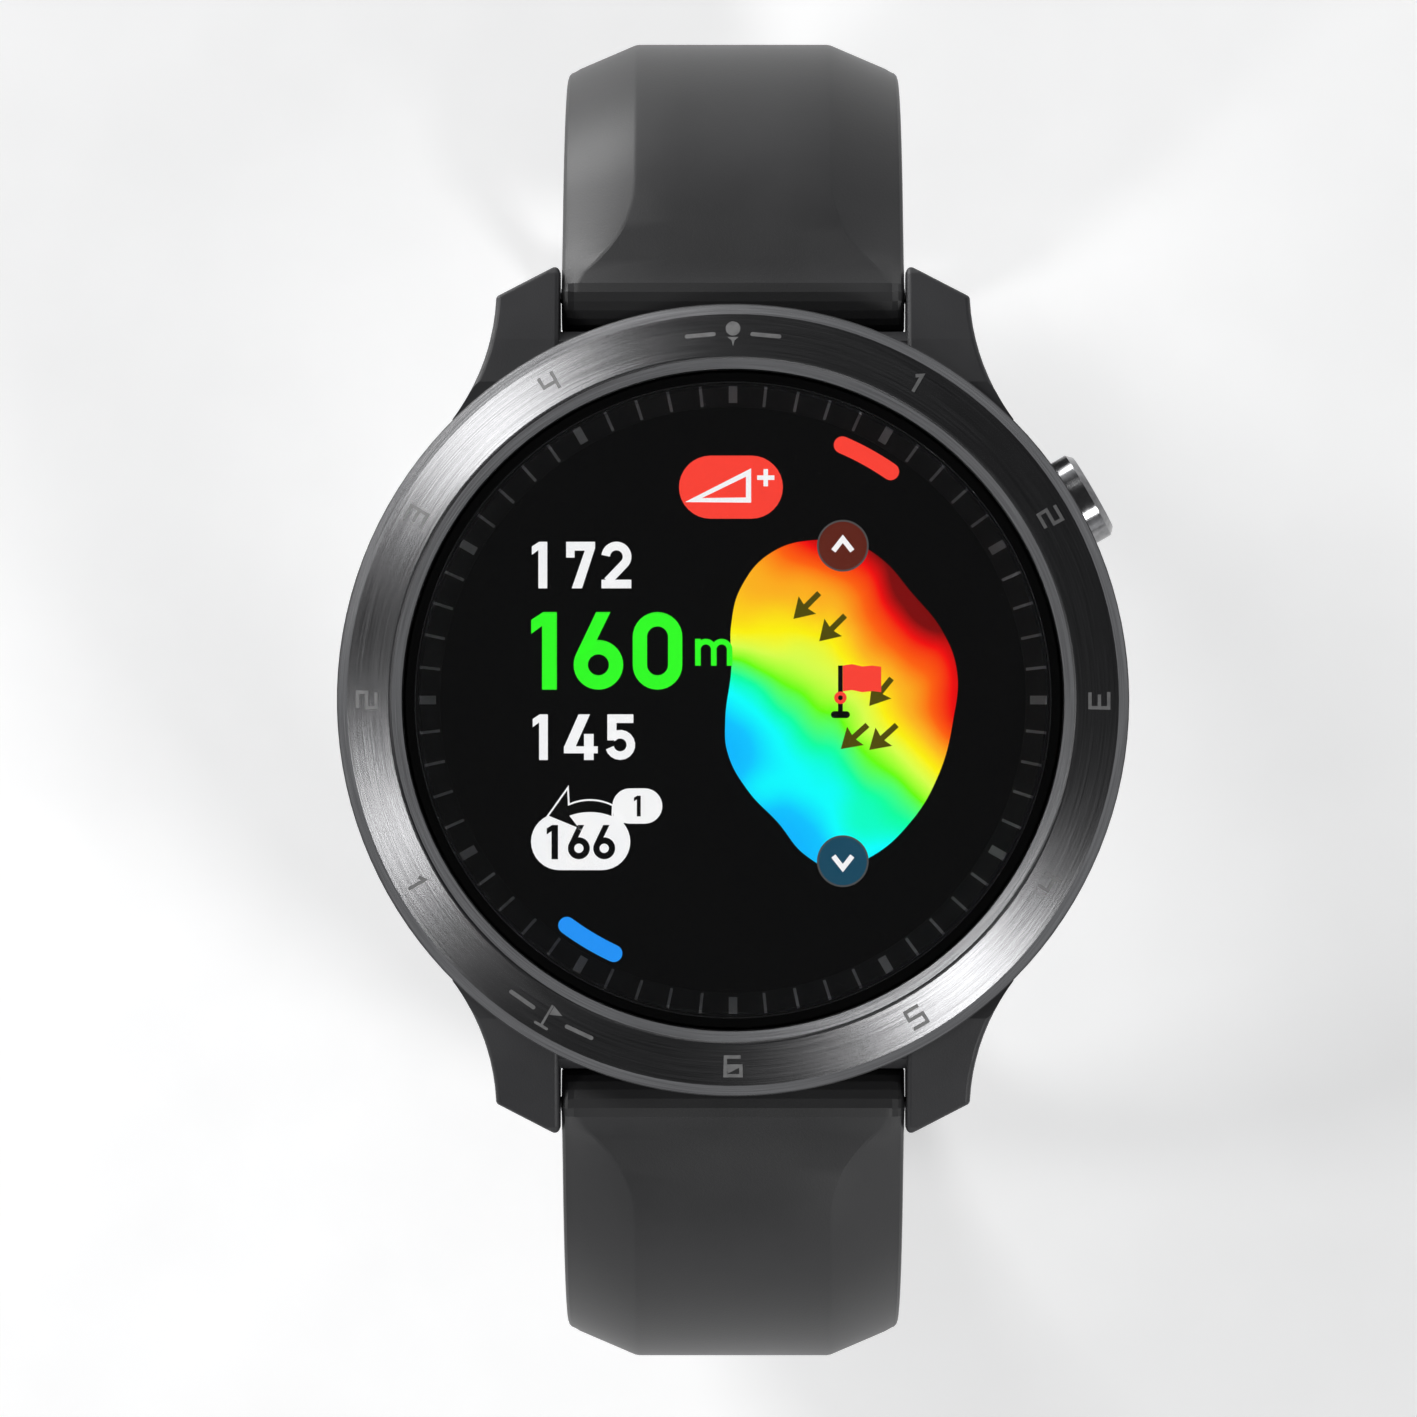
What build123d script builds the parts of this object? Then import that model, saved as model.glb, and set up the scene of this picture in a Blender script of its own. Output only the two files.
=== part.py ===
"""A round golf GPS watch on a two-piece silicone strap, face up and standing on its open strap.

Frame, in millimetres: the origin is the centre of the back cover's flat face, +Z points out of the
dial, +Y to 12 o'clock and +X to 3 o'clock.
"""

import os
from math import cos, radians, sin, tan

from build123d import *

# ---------------------------------------------------------------- driving dimensions
CASE_R = 23.0  # the case is 46 mm across
CAVITY_R = 18.4  # inside of the case wall
CASE_TOP = 9.7  # where the bezel sits
LUG_GAP = 20.2  # between the lugs, for a 20 mm strap
LUG_TIP_Y = 25.45
LUG_CORNER = (13.8, 23.5)  # outer corner of a lug in plan
LUG_WAIST = (14.3, 20.3)
LUG_ROOT = (16.3, 16.3)
WALL_Y = 21.45  # flat wall behind each strap end
LEDGE_R = 17.2  # the main board sits on this ledge

BEZEL_R = 22.9
BEZEL_TOP = 12.1
GASKET_INNER_R, GASKET_OUTER_R = 20.4, 21.2  # groove of the bezel's gasket
GASKET_DEPTH = 0.35
GLASS_R = 19.1
GLASS_SEAT_Z = 10.2
GLASS_BOTTOM, GLASS_TOP = 10.55, 11.5
DISPLAY_R = 18.0
DISPLAY_BOTTOM, DISPLAY_TOP = 8.1, 9.5
BACKLIGHT_R = 16.8
BACKLIGHT_BOTTOM = 7.4
PICTURE_R = 17.0  # inside of the chapter ring
TRIM_R = 18.3  # outside of the chapter ring and of the display's frame

BOARD_R = 17.6
BOARD_BOTTOM, BOARD_TOP = 6.3, 7.0
BACK_R = 20.4
BACK_FLAT_R = 15.5
BACK_EDGE_Z = 0.6  # where the back's sloping edge meets the case
BACK_SEAT_Z = 1.6
BACK_GAP = 0.1
FLOOR_Z = 1.5  # inside face of the back cover
SPIGOT_R = 18.35  # the back's raised rim, inside the case
SPIGOT_IN = 17.0
BATTERY_Y = 2.75
BATTERY_SIZE = (22.0, 16.5, 3.3)
PAD_THICK = 0.25
CONTACT_XS = (-3.81, -1.27, 1.27, 3.81)
CONTACT_Y = -14.0
SCREW_PCD_R = 19.2
SCREW_ANGLES = (60, 120, 240, 300)

BUTTON_ANGLE = 30.0  # 2 o'clock
BUTTON_Z = 4.9
BUTTON_FACE_R = 24.3  # how far the pusher's outer face is from the dial's axis
BUTTON_SKIRT_R = 22.05  # how far its inner edge is
BUTTON_TRAVEL = 0.7
CAP_R = 2.7
STEM_R = 0.9
STEM_START = 16.65
NECK_R = 0.6  # bottom of the stem's grooves
CLIP_GROOVE, O_RING_GROOVE = 17.9, 19.6
SLEEVE_R = 1.6
SLEEVE_START, SLEEVE_LONG = 18.45, 2.8
POCKET_FLOOR = BUTTON_SKIRT_R - BUTTON_TRAVEL - 0.1

HINGE_Y, HINGE_Z = 23.6, 5.0  # axis of each spring bar
BARREL_R = 2.1  # strap end around the spring bar
BAR_R = 0.75
BAR_HALF = 9.9
BAR_BORE_R = 0.54
BAR_SPRING_X = 1.9  # blind end of the bar's bore
TIP_R = 0.42
TIP_HALF = 11.4
LEVER_X = 7.0
RUNNING = 0.05  # radial clearance of a running fit
STRAP_HALF, STRAP_MID_HALF, STRAP_END_HALF = 10.0, 9.8, 9.0
STRAP_OUT, STRAP_IN = 1.9, 1.5  # strap faces, each side of the centre line
STRAP_LEAN = -20.0  # heading of the strap where it leaves the bar
FLANK_START = 5.75  # half width of the strap's raised middle
FLANK_ANGLE = 23.2  # slope of its two side facets
FLANK_OVER = 0.6  # how far the facet cuts reach past the strap
LEAD_IN = 12.0  # radius on which the facets run out of the strap's top
LEAD_IN_TURN, LEAD_OUT_TURN = 28.0, 34.0
TAPER_MID_Z, TAPER_END_Z = -14.0, -28.0  # heights of the middle and end widths

# Centre lines from the spring bar on: (length,) is a line and (radius, turn) is an arc.
SHOULDER = [(3.5,), (16.0, 10.0)]
DRAPE = [(16.0, 60.0)]
BUCKLE_RUN = SHOULDER + DRAPE + [(42.0, 22.0), (25.0,)]
HOLE_RUN = SHOULDER + DRAPE + [(99.8, 22.0), (20.0, 68.0), (31.0,)]

HOLE_COUNT, HOLE_PITCH, FIRST_HOLE = 9, 6.5, 12.0
HOLE_WIDE, HOLE_LONG = 3.0, 2.4
LOOP_R = 1.7  # buckle end of the strap, round its bar
LOOP_OUT = 0.2
NOTCH = (2.9, 6.4)  # gap for the buckle's tongue

FRAME_IN, FRAME_OUT = 9.25, 10.9  # half widths of the buckle's window and of its frame
FRAME_UP = 1.5  # how far the frame reaches above its bar
FRAME_THICK = 1.8
CROSSBAR_TOP, CROSSBAR_BOTTOM = 7.6, 9.6
BUCKLE_BAR_LONG = 21.0
TONGUE_EYE_R = 1.3
KEEPER_WIDE = 5.5
KEEPER_WALL = 1.0
KEEPER_SPACE = 3.3  # room in a keeper for the strap's other half
FIXED_KEEPER_AT, SLIDING_KEEPER_AT = 8.0, 15.6  # from the buckle's bar

os.makedirs("parts", exist_ok=True)


def save(part, name):
    """Labels a finished piece and writes it as one STEP."""
    part.label = name
    export_step(part, f"parts/{name}.step")


# ---------------------------------------------------------------- places and shared shapes
def follow(run, offset=0.0, start=(HINGE_Y, HINGE_Z), heading=STRAP_LEAN):
    """A run moved outwards by offset, as edges in a plane whose x is +Y and whose y is +Z."""
    lead = Vector(cos(radians(heading)), sin(radians(heading)))
    here = Vector(*start) + Vector(-lead.Y, lead.X) * offset
    edges = []
    for step in run:
        if len(step) == 1:
            edges.append(Line(here, here + lead * step[0]))
        else:
            edges.append(JernArc(here, lead, step[0] + offset, -step[1]))
        here = edges[-1] @ 1
        lead = edges[-1] % 1
    return edges


def along(run, distance):
    """A plane on the strap: x is +X, y leads on and z points outwards."""
    centre = Wire(follow(run))
    here = centre @ (distance / centre.length)
    lead = centre % (distance / centre.length)
    return Plane(origin=(0, here.X, here.Y), x_dir=(1, 0, 0), z_dir=(0, -lead.Y, lead.X))


def turn_to_lead(plane):
    """The same place, with z leading on and y pointing inwards."""
    return Plane(origin=plane.origin, x_dir=plane.x_dir, z_dir=plane.y_dir)


BUCKLE_LENGTH = Wire(follow(BUCKLE_RUN)).length
HOLE_LENGTH = Wire(follow(HOLE_RUN)).length
STRAP_END = along(BUCKLE_RUN, BUCKLE_LENGTH)
HANGING = Plane(origin=STRAP_END.origin, x_dir=(1, 0, 0), z_dir=(0, 1, 0))  # y is down
BUTTON_OUT = Vector(cos(radians(BUTTON_ANGLE)), sin(radians(BUTTON_ANGLE)), 0)


def button_plane(radius):
    """Across the button's axis at a radius, facing outwards."""
    centre = BUTTON_OUT * radius + Vector(0, 0, BUTTON_Z)
    return Plane(origin=centre, x_dir=(0, 0, 1), z_dir=BUTTON_OUT)


def disc(radius, bottom, top):
    """A plain disc about the dial's axis."""
    with BuildPart() as shape:
        with BuildSketch(Plane.XY.offset(bottom)):
            Circle(radius)
        extrude(amount=top - bottom)
    return shape.part


def ring(outer, inner, bottom, top):
    """A plain ring about the dial's axis."""
    with BuildPart() as shape:
        with BuildSketch(Plane.XY.offset(bottom)):
            Circle(outer)
            Circle(inner, mode=Mode.SUBTRACT)
        extrude(amount=top - bottom)
    return shape.part


def turned(corners):
    """A solid turned about the dial's axis from (radius, height) corners."""
    with BuildPart() as shape:
        with BuildSketch(Plane.XZ):
            with BuildLine():
                Polyline(*corners, close=True)
            make_face()
        revolve(axis=Axis.Z)
    return shape.part


def block(centre, size):
    """An upright box, centred in plan and standing on its centre's height."""
    with BuildPart() as shape:
        with Locations(centre):
            Box(*size, align=(Align.CENTER, Align.CENTER, Align.MIN))
    return shape.part


def coil(plane, radius, wire, length, turns):
    """A wound spring along a plane's normal."""
    with BuildPart() as spring:
        with BuildLine() as path:
            Helix(pitch=(length - wire) / turns, height=length - wire, radius=radius)
        with BuildSketch(Plane(origin=path.line @ 0, z_dir=path.line % 0)):
            Circle(wire / 2)
        sweep()
    return plane.offset(wire / 2).location * spring.part


# ---------------------------------------------------------------- mid case
LUG_SIDE = [
    (0, 1.4), (20.6, 1.4), (24.6, 2.5), (25.6, 3.4), (25.6, 6.3), (24.9, 7.0), (21.0, 8.5),
    (18.5, 9.2), (0, 9.2),
]
WALL_SIDE = [(16.0, 2.2), (WALL_Y, 2.2), (WALL_Y, 7.4), (20.9, 8.4), (16.0, 8.4)]

with BuildPart() as lugs:
    with BuildSketch():
        with BuildLine():
            inner_side = Line((LUG_GAP / 2, 12), (LUG_GAP / 2, LUG_TIP_Y))
            tip_side = Line(inner_side @ 1, LUG_CORNER)
            flare = ThreePointArc(tip_side @ 1, LUG_WAIST, LUG_ROOT)
            Polyline(flare @ 1, (14, 12), inner_side @ 0)
        make_face()
        mirror(about=Plane.YZ)
        mirror(about=Plane.XZ)
    extrude(amount=CASE_TOP)
    with BuildSketch(Plane.YZ):
        with BuildLine():
            Polyline(*LUG_SIDE, close=True)
        make_face()
        mirror(about=Plane.YZ)
    extrude(amount=LUG_ROOT[0] + 1, both=True, mode=Mode.INTERSECT)
    lug_ends = lugs.edges().filter_by_position(Axis.Y, 21, 26)
    lug_ends += lugs.edges().filter_by_position(Axis.Y, -26, -21)
    fillet(lug_ends, radius=0.3)

with BuildPart() as case:
    with BuildSketch(Plane.XZ):
        with BuildLine():
            seat = Polyline(
                (CAVITY_R, BACK_SEAT_Z), (BACK_R + BACK_GAP, BACK_SEAT_Z),
                (BACK_R + BACK_GAP, BACK_EDGE_Z), (21.3, BACK_EDGE_Z),
            )
            side = ThreePointArc(seat @ 1, (22.6, 4.4), (CASE_R, 8.4))
            Polyline(
                side @ 1, (CASE_R, CASE_TOP - 0.15), (CASE_R - 0.15, CASE_TOP),
                (CAVITY_R, CASE_TOP), seat @ 0,
            )
        make_face()
    revolve(axis=Axis.Z)
    add(lugs.part)
    # the flat walls between the lugs
    with BuildSketch(Plane.YZ):
        with BuildLine():
            Polyline(*WALL_SIDE, close=True)
        make_face()
        mirror(about=Plane.YZ)
    extrude(amount=LUG_GAP / 2 + 0.5, both=True)
    with BuildSketch():
        Circle(CAVITY_R)
    extrude(amount=CASE_TOP, mode=Mode.SUBTRACT)
    with BuildSketch():
        Circle(BACK_R + BACK_GAP)
    extrude(amount=BACK_SEAT_Z, mode=Mode.SUBTRACT)
    # room for each strap end: a flat wall, and a hollow round the spring bar
    roof_z = HINGE_Z + BARREL_R + 0.15
    with BuildSketch(Plane.YZ):
        with BuildLine():
            Polyline(
                (WALL_Y, 0), (WALL_Y, HINGE_Z), (HINGE_Y, HINGE_Z), (HINGE_Y, roof_z),
                (30, roof_z), (30, 0), close=True,
            )
        make_face()
        with Locations((HINGE_Y, HINGE_Z)):
            Circle(BARREL_R + 0.1)
        mirror(about=Plane.YZ)
    extrude(amount=LUG_GAP / 2, both=True, mode=Mode.SUBTRACT)
    # ledge for the main board, and the bosses of the back screws
    with BuildSketch(Plane.XY.offset(BOARD_BOTTOM - 0.45)):
        Circle(CAVITY_R + 0.5)
        Circle(LEDGE_R, mode=Mode.SUBTRACT)
    extrude(amount=0.45)
    for angle in SCREW_ANGLES:
        screw = (SCREW_PCD_R * cos(radians(angle)), SCREW_PCD_R * sin(radians(angle)))
        with BuildSketch(Plane.XY.offset(2.55)):
            with Locations(screw):
                Circle(1.6)
        extrude(amount=3.45)
        with BuildSketch(Plane.XY.offset(1.5)):
            with Locations(screw):
                Circle(0.72)
        extrude(amount=4.0, mode=Mode.SUBTRACT)
    # groove of the bezel's gasket
    with BuildSketch(Plane.XY.offset(CASE_TOP)):
        Circle(GASKET_OUTER_R)
        Circle(GASKET_INNER_R, mode=Mode.SUBTRACT)
    extrude(amount=-GASKET_DEPTH, mode=Mode.SUBTRACT)
    # spring bar holes in the lugs
    for hinge_y in (HINGE_Y, -HINGE_Y):
        with BuildSketch(Plane(origin=(0, hinge_y, HINGE_Z), z_dir=(1, 0, 0))):
            Circle(TIP_R + RUNNING)
        extrude(amount=11.8, both=True, mode=Mode.SUBTRACT)
    # pocket and bore of the button
    with BuildSketch(button_plane(POCKET_FLOOR)):
        Circle(CAP_R + 0.1)
    extrude(amount=4, mode=Mode.SUBTRACT)
    with BuildSketch(button_plane(16.5)):
        Circle(SLEEVE_R)
    extrude(amount=5, mode=Mode.SUBTRACT)
save(case.part, "mid_case")

# ---------------------------------------------------------------- bezel, glass and display
save(
    turned([
        (CAVITY_R, CASE_TOP), (BEZEL_R - 0.15, CASE_TOP), (BEZEL_R, CASE_TOP + 0.15),
        (BEZEL_R, 10.6), (22.35, 11.05), (19.95, BEZEL_TOP - 0.05), (19.85, BEZEL_TOP),
        (19.75, BEZEL_TOP - 0.03), (GLASS_R + 0.08, 11.55), (GLASS_R + 0.08, GLASS_SEAT_Z),
        (CAVITY_R, GLASS_SEAT_Z),
    ]),
    "bezel_ring",
)
save(
    ring(GASKET_OUTER_R - 0.05, GASKET_INNER_R + 0.05, CASE_TOP - GASKET_DEPTH + 0.01, CASE_TOP),
    "bezel_gasket",
)
save(ring(GLASS_R, CAVITY_R + 0.05, GLASS_SEAT_Z, GLASS_BOTTOM), "glass_gasket")
with BuildPart() as glass:
    with BuildSketch(Plane.XY.offset(GLASS_BOTTOM)):
        Circle(GLASS_R)
    extrude(amount=GLASS_TOP - GLASS_BOTTOM)
    chamfer(glass.edges().filter_by(GeomType.CIRCLE).sort_by(Axis.Z)[-1], 0.15)
save(glass.part, "cover_glass")
save(
    turned([
        (PICTURE_R, DISPLAY_TOP), (TRIM_R, DISPLAY_TOP), (TRIM_R, GLASS_BOTTOM - 0.05),
        (TRIM_R - 0.2, GLASS_BOTTOM - 0.05), (PICTURE_R, DISPLAY_TOP + 0.25),
    ]),
    "chapter_ring",
)
save(disc(DISPLAY_R, DISPLAY_BOTTOM, DISPLAY_TOP), "display_panel")
save(disc(BACKLIGHT_R, BACKLIGHT_BOTTOM, DISPLAY_BOTTOM), "backlight_unit")
save(
    turned([
        (BACKLIGHT_R + 0.1, BOARD_TOP), (TRIM_R, BOARD_TOP), (TRIM_R, DISPLAY_TOP),
        (DISPLAY_R + 0.05, DISPLAY_TOP), (DISPLAY_R + 0.05, DISPLAY_BOTTOM),
        (BACKLIGHT_R + 0.1, DISPLAY_BOTTOM),
    ]),
    "display_frame",
)
save(block((0, -13.0, BOARD_TOP), (7.0, 6.0, 0.3)), "display_flex")

# ---------------------------------------------------------------- electronics
# Chips, shield and connectors hang below the board.
save(disc(BOARD_R, BOARD_BOTTOM, BOARD_TOP), "main_board")
SHIELD_WALL = 0.2
with BuildPart() as shield:
    add(block((-7.0, 3.5, 5.3), (13.0, 9.0, 1.0)))
    inside = (13.0 - 2 * SHIELD_WALL, 9.0 - 2 * SHIELD_WALL, 1.0 - SHIELD_WALL)
    add(block((-7.0, 3.5, 5.3 + SHIELD_WALL), inside), mode=Mode.SUBTRACT)
save(shield.part, "rf_shield")
save(block((-9.8, 3.5, 5.55), (5.0, 5.0, 0.75)), "processor_chip")
save(block((-3.8, 3.5, 5.65), (4.0, 5.5, 0.65)), "memory_chip")
save(block((6.5, 7.5, 5.5), (4.5, 4.5, 0.8)), "gps_receiver")
save(block((5.5, 0.5, 5.6), (2.5, 3.0, 0.7)), "motion_sensor")
with BuildPart() as connectors:
    add(block((10.5, -8.6, 5.3), (4.0, 2.0, 1.0)))
    add(block((0, -9.4, 5.4), (7.0, 2.2, 0.9)))
    add(block((-13.4, -5.2, 5.4), (2.2, 2.2, 0.9)))
save(connectors.part, "board_connectors")
with BuildPart() as antenna:
    with BuildSketch(Plane.XY.offset(2.7)):
        Circle(CAVITY_R - 0.05)
        Circle(CAVITY_R - 0.4, mode=Mode.SUBTRACT)
    extrude(amount=3.1)
    # only the side away from the button
    with BuildSketch():
        with BuildLine():
            Polyline((0, 0), (-16, 20), (-30, 20), (-30, -20), (-16, -20), close=True)
        make_face()
    extrude(amount=10, mode=Mode.INTERSECT)
save(antenna.part, "gps_antenna")
with BuildPart() as cell:
    add(block((0, BATTERY_Y, FLOOR_Z + PAD_THICK), BATTERY_SIZE))
    fillet(cell.edges().filter_by(Axis.Z), 1.2)
    fillet(cell.edges().group_by(Axis.Z)[-1], 0.3)
save(cell.part, "battery")
save(block((0, BATTERY_Y, FLOOR_Z), (20.0, 13.0, PAD_THICK)), "battery_pad")
with BuildPart() as lead:
    for wire_x in (9.9, 11.1):
        with BuildLine() as path:
            Polyline(
                (wire_x, -5.52, 3.6), (wire_x, -6.1, 3.6), (wire_x, -6.8, 5.8), (wire_x, -7.58, 5.8)
            )
        with BuildSketch(Plane(origin=path.line @ 0, z_dir=path.line % 0)):
            Circle(0.35)
        sweep(transition=Transition.ROUND)
save(lead.part, "battery_lead")
with BuildPart() as motor:
    with BuildSketch(Plane.XY.offset(FLOOR_Z)):
        with Locations((-8.0, -10.0)):
            Circle(4.0)
    extrude(amount=2.7)
    fillet(motor.edges().filter_by(GeomType.CIRCLE).sort_by(Axis.Z)[-1], 0.25)
save(motor.part, "vibration_motor")
with BuildPart() as switch:
    with BuildSketch(button_plane(14.0)):
        with Locations((0.1, 0)):
            Rectangle(2.6, 3.2)
    extrude(amount=1.5)
    with BuildSketch(button_plane(15.5)):
        Circle(0.6)
    extrude(amount=0.4)
save(switch.part, "side_switch")

# ---------------------------------------------------------------- button
with BuildPart() as cap:
    with BuildSketch(button_plane(BUTTON_SKIRT_R)):
        Circle(CAP_R)
    extrude(amount=BUTTON_FACE_R - BUTTON_SKIRT_R)
    outward = Axis(origin=(0, 0, 0), direction=BUTTON_OUT)
    chamfer(cap.edges().filter_by(GeomType.CIRCLE).sort_by(outward)[-1], 0.35)
    with BuildSketch(button_plane(BUTTON_SKIRT_R)):
        Circle(CAP_R - 0.4)
    extrude(amount=1.1, mode=Mode.SUBTRACT)
    with BuildSketch(button_plane(STEM_START)):
        Circle(STEM_R)
    extrude(amount=BUTTON_FACE_R - 0.65 - STEM_START)
    for groove, groove_wide in ((O_RING_GROOVE, 0.4), (CLIP_GROOVE, 0.3)):
        with BuildSketch(button_plane(groove)):
            Circle(STEM_R)
            Circle(NECK_R, mode=Mode.SUBTRACT)
        extrude(amount=groove_wide, mode=Mode.SUBTRACT)
save(cap.part, "button_cap")
with BuildPart() as sleeve:
    with BuildSketch(button_plane(SLEEVE_START)):
        Circle(SLEEVE_R)
        Circle(STEM_R + RUNNING, mode=Mode.SUBTRACT)
    extrude(amount=SLEEVE_LONG)
save(sleeve.part, "button_sleeve")
with BuildPart() as clip:
    with BuildSketch(button_plane(CLIP_GROOVE + 0.01)):
        Circle(1.3)
        Circle(NECK_R, mode=Mode.SUBTRACT)
        with Locations((-1.0, 0)):
            Rectangle(2.0, 1.0, mode=Mode.SUBTRACT)
    extrude(amount=0.28)
save(clip.part, "button_clip")
with BuildPart() as o_ring:
    with BuildSketch(Plane.XZ):
        with Locations((0.765, 0)):
            Circle(0.16)
    revolve(axis=Axis.Z)
save(button_plane(O_RING_GROOVE + 0.2).location * o_ring.part, "button_o_ring")
save(coil(button_plane(POCKET_FLOOR + 0.03), 1.75, 0.3, 1.85, 3.0), "button_spring")

# ---------------------------------------------------------------- back cover
SEAL_BOTTOM, SEAL_TOP = 1.75, 2.2  # groove of the back's gasket
SEAL_R = SPIGOT_R - 0.5
with BuildPart() as back:
    add(turned([
        (0, 0), (BACK_FLAT_R, 0), (BACK_R, BACK_EDGE_Z), (BACK_R, BACK_SEAT_Z),
        (SPIGOT_R, BACK_SEAT_Z), (SPIGOT_R, SEAL_BOTTOM), (SEAL_R, SEAL_BOTTOM), (SEAL_R, SEAL_TOP),
        (SPIGOT_R, SEAL_TOP), (SPIGOT_R, 2.4), (SPIGOT_IN, 2.4), (SPIGOT_IN, FLOOR_Z),
        (0, FLOOR_Z),
    ]))
    for angle in SCREW_ANGLES:
        with Locations((SCREW_PCD_R * cos(radians(angle)), SCREW_PCD_R * sin(radians(angle)), 0)):
            Cylinder(0.8, 5, mode=Mode.SUBTRACT)
            Cylinder(1.15, 1.05, align=(Align.CENTER, Align.CENTER, Align.MIN), mode=Mode.SUBTRACT)
    with Locations(*[(x, CONTACT_Y, 0) for x in CONTACT_XS]):
        Cylinder(0.75, 5, mode=Mode.SUBTRACT)
save(back.part, "back_cover")
save(ring(SPIGOT_R + 0.03, SEAL_R + 0.02, SEAL_BOTTOM + 0.02, SEAL_TOP - 0.02), "back_gasket")
with BuildPart() as screws:
    for angle in SCREW_ANGLES:
        with Locations((SCREW_PCD_R * cos(radians(angle)), SCREW_PCD_R * sin(radians(angle)), 0)):
            with Locations((0, 0, 0.5)):
                Cylinder(1.1, 0.55, align=(Align.CENTER, Align.CENTER, Align.MIN))
                Cylinder(0.68, 4.6, align=(Align.CENTER, Align.CENTER, Align.MIN))
                Box(1.3, 0.25, 0.3, mode=Mode.SUBTRACT)
                Box(0.25, 1.3, 0.3, mode=Mode.SUBTRACT)
save(screws.part, "back_screws")
with BuildPart() as contacts:
    with Locations(*[(x, CONTACT_Y, 0.02) for x in CONTACT_XS]):
        Cylinder(0.7, 1.46, align=(Align.CENTER, Align.CENTER, Align.MIN))
        Cylinder(0.4, 2.9, align=(Align.CENTER, Align.CENTER, Align.MIN))
save(contacts.part, "charge_contacts")
with BuildPart() as insulator:
    add(block((0, CONTACT_Y, FLOOR_Z), (10.0, 2.6, 1.0)))
    with Locations(*[(x, CONTACT_Y, FLOOR_Z) for x in CONTACT_XS]):
        Cylinder(0.4, 4, mode=Mode.SUBTRACT)
save(insulator.part, "contact_block")

# ---------------------------------------------------------------- straps
TAPER = [
    (STRAP_HALF, 20), (STRAP_HALF, HINGE_Z), (STRAP_MID_HALF, TAPER_MID_Z),
    (STRAP_END_HALF, TAPER_END_Z), (STRAP_END_HALF, -80),
]
FACET_REACH = STRAP_HALF + FLANK_OVER
FACET_DEPTH = (FACET_REACH - FLANK_START) * tan(radians(FLANK_ANGLE))


def facets(run, ends_early):
    """The two wedges that cut the strap's sloping sides, running out of it near the lug."""
    start = Wire(follow(SHOULDER)) @ 1
    lead = Wire(follow(SHOULDER)) % 1
    run_in = JernArc(start, lead * -1, LEAD_IN, -LEAD_IN_TURN)
    first = run_in @ 1
    first_lead = (run_in % 1) * -1
    edges = [JernArc(first, first_lead, LEAD_IN, LEAD_IN_TURN)]
    edges += follow(run, start=(start.X, start.Y), heading=STRAP_LEAN - SHOULDER[1][1])
    if ends_early:
        edges.append(JernArc(edges[-1] @ 1, edges[-1] % 1, LEAD_IN, LEAD_OUT_TURN))
    path = Plane.YZ.location * Wire(edges)
    section_plane = Plane(
        origin=(0, first.X, first.Y), x_dir=(1, 0, 0), z_dir=(0, first_lead.X, first_lead.Y)
    )
    with BuildPart() as wedges:
        with BuildSketch(section_plane):
            with BuildLine():
                Polyline(
                    (FLANK_START, -STRAP_OUT), (FACET_REACH, FACET_DEPTH - STRAP_OUT),
                    (FACET_REACH, -STRAP_OUT - FLANK_OVER), (FLANK_START, -STRAP_OUT - FLANK_OVER),
                    close=True,
                )
            make_face()
        sweep(path=path)
        mirror(about=Plane.YZ)
    return wedges.part


def strap_blank(run, facet_run, ends_early):
    """A strap's body on the +Y side, with its spring bar bore, before its own end is cut."""
    outer = follow(run, STRAP_OUT)
    inner = follow(run, -STRAP_IN)
    with BuildPart() as body:
        with BuildSketch(Plane.YZ):
            with BuildLine():
                add(outer)
                add(inner)
                Line(outer[-1] @ 1, inner[-1] @ 1)
                Line(inner[0] @ 0, outer[0] @ 0)
            make_face()
            with Locations((HINGE_Y, HINGE_Z)):
                Circle(BARREL_R)
            # heel that stops the strap against the case
            with BuildLine():
                Polyline(
                    (WALL_Y + 0.05, HINGE_Z), (WALL_Y + 0.05, 3.0), (WALL_Y + 0.45, 2.6),
                    (25.8, 2.6), (25.8, HINGE_Z), close=True,
                )
            make_face()
        extrude(amount=STRAP_HALF, both=True)
        add(facets(facet_run, ends_early), mode=Mode.SUBTRACT)
        with BuildSketch(Plane.XZ):
            with BuildLine():
                Polyline(*TAPER, *[(-half, height) for half, height in reversed(TAPER)], close=True)
            make_face()
        extrude(amount=60, both=True, mode=Mode.INTERSECT)
        with BuildSketch(Plane(origin=(0, HINGE_Y, HINGE_Z), z_dir=(1, 0, 0))):
            Circle(BAR_R + RUNNING)
        extrude(amount=STRAP_HALF + 1, both=True, mode=Mode.SUBTRACT)
        # slot for the release lever on the skin side
        with BuildSketch(along(run, 0)):
            with Locations((6.6, 0)):
                Rectangle(3.2, 1.7)
        extrude(amount=-5, mode=Mode.SUBTRACT)
    return body.part


bar_plane = Plane(origin=STRAP_END.origin, z_dir=(1, 0, 0))
with BuildPart() as buckle_strap:
    add(strap_blank(BUCKLE_RUN, DRAPE + [(42.0, 22.0), (16.0,)], True))
    loop_centre = STRAP_END.origin + STRAP_END.z_dir * LOOP_OUT
    with BuildSketch(Plane(origin=loop_centre, z_dir=(1, 0, 0))):
        Circle(LOOP_R)
    extrude(amount=STRAP_END_HALF, both=True)
    with BuildSketch(bar_plane):
        Circle(BAR_R + RUNNING)
    extrude(amount=STRAP_HALF, both=True, mode=Mode.SUBTRACT)
    with BuildSketch(STRAP_END):
        RectangleRounded(*NOTCH, 0.6)
    extrude(amount=4, both=True, mode=Mode.SUBTRACT)
save(buckle_strap.part, "strap_12")

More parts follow.
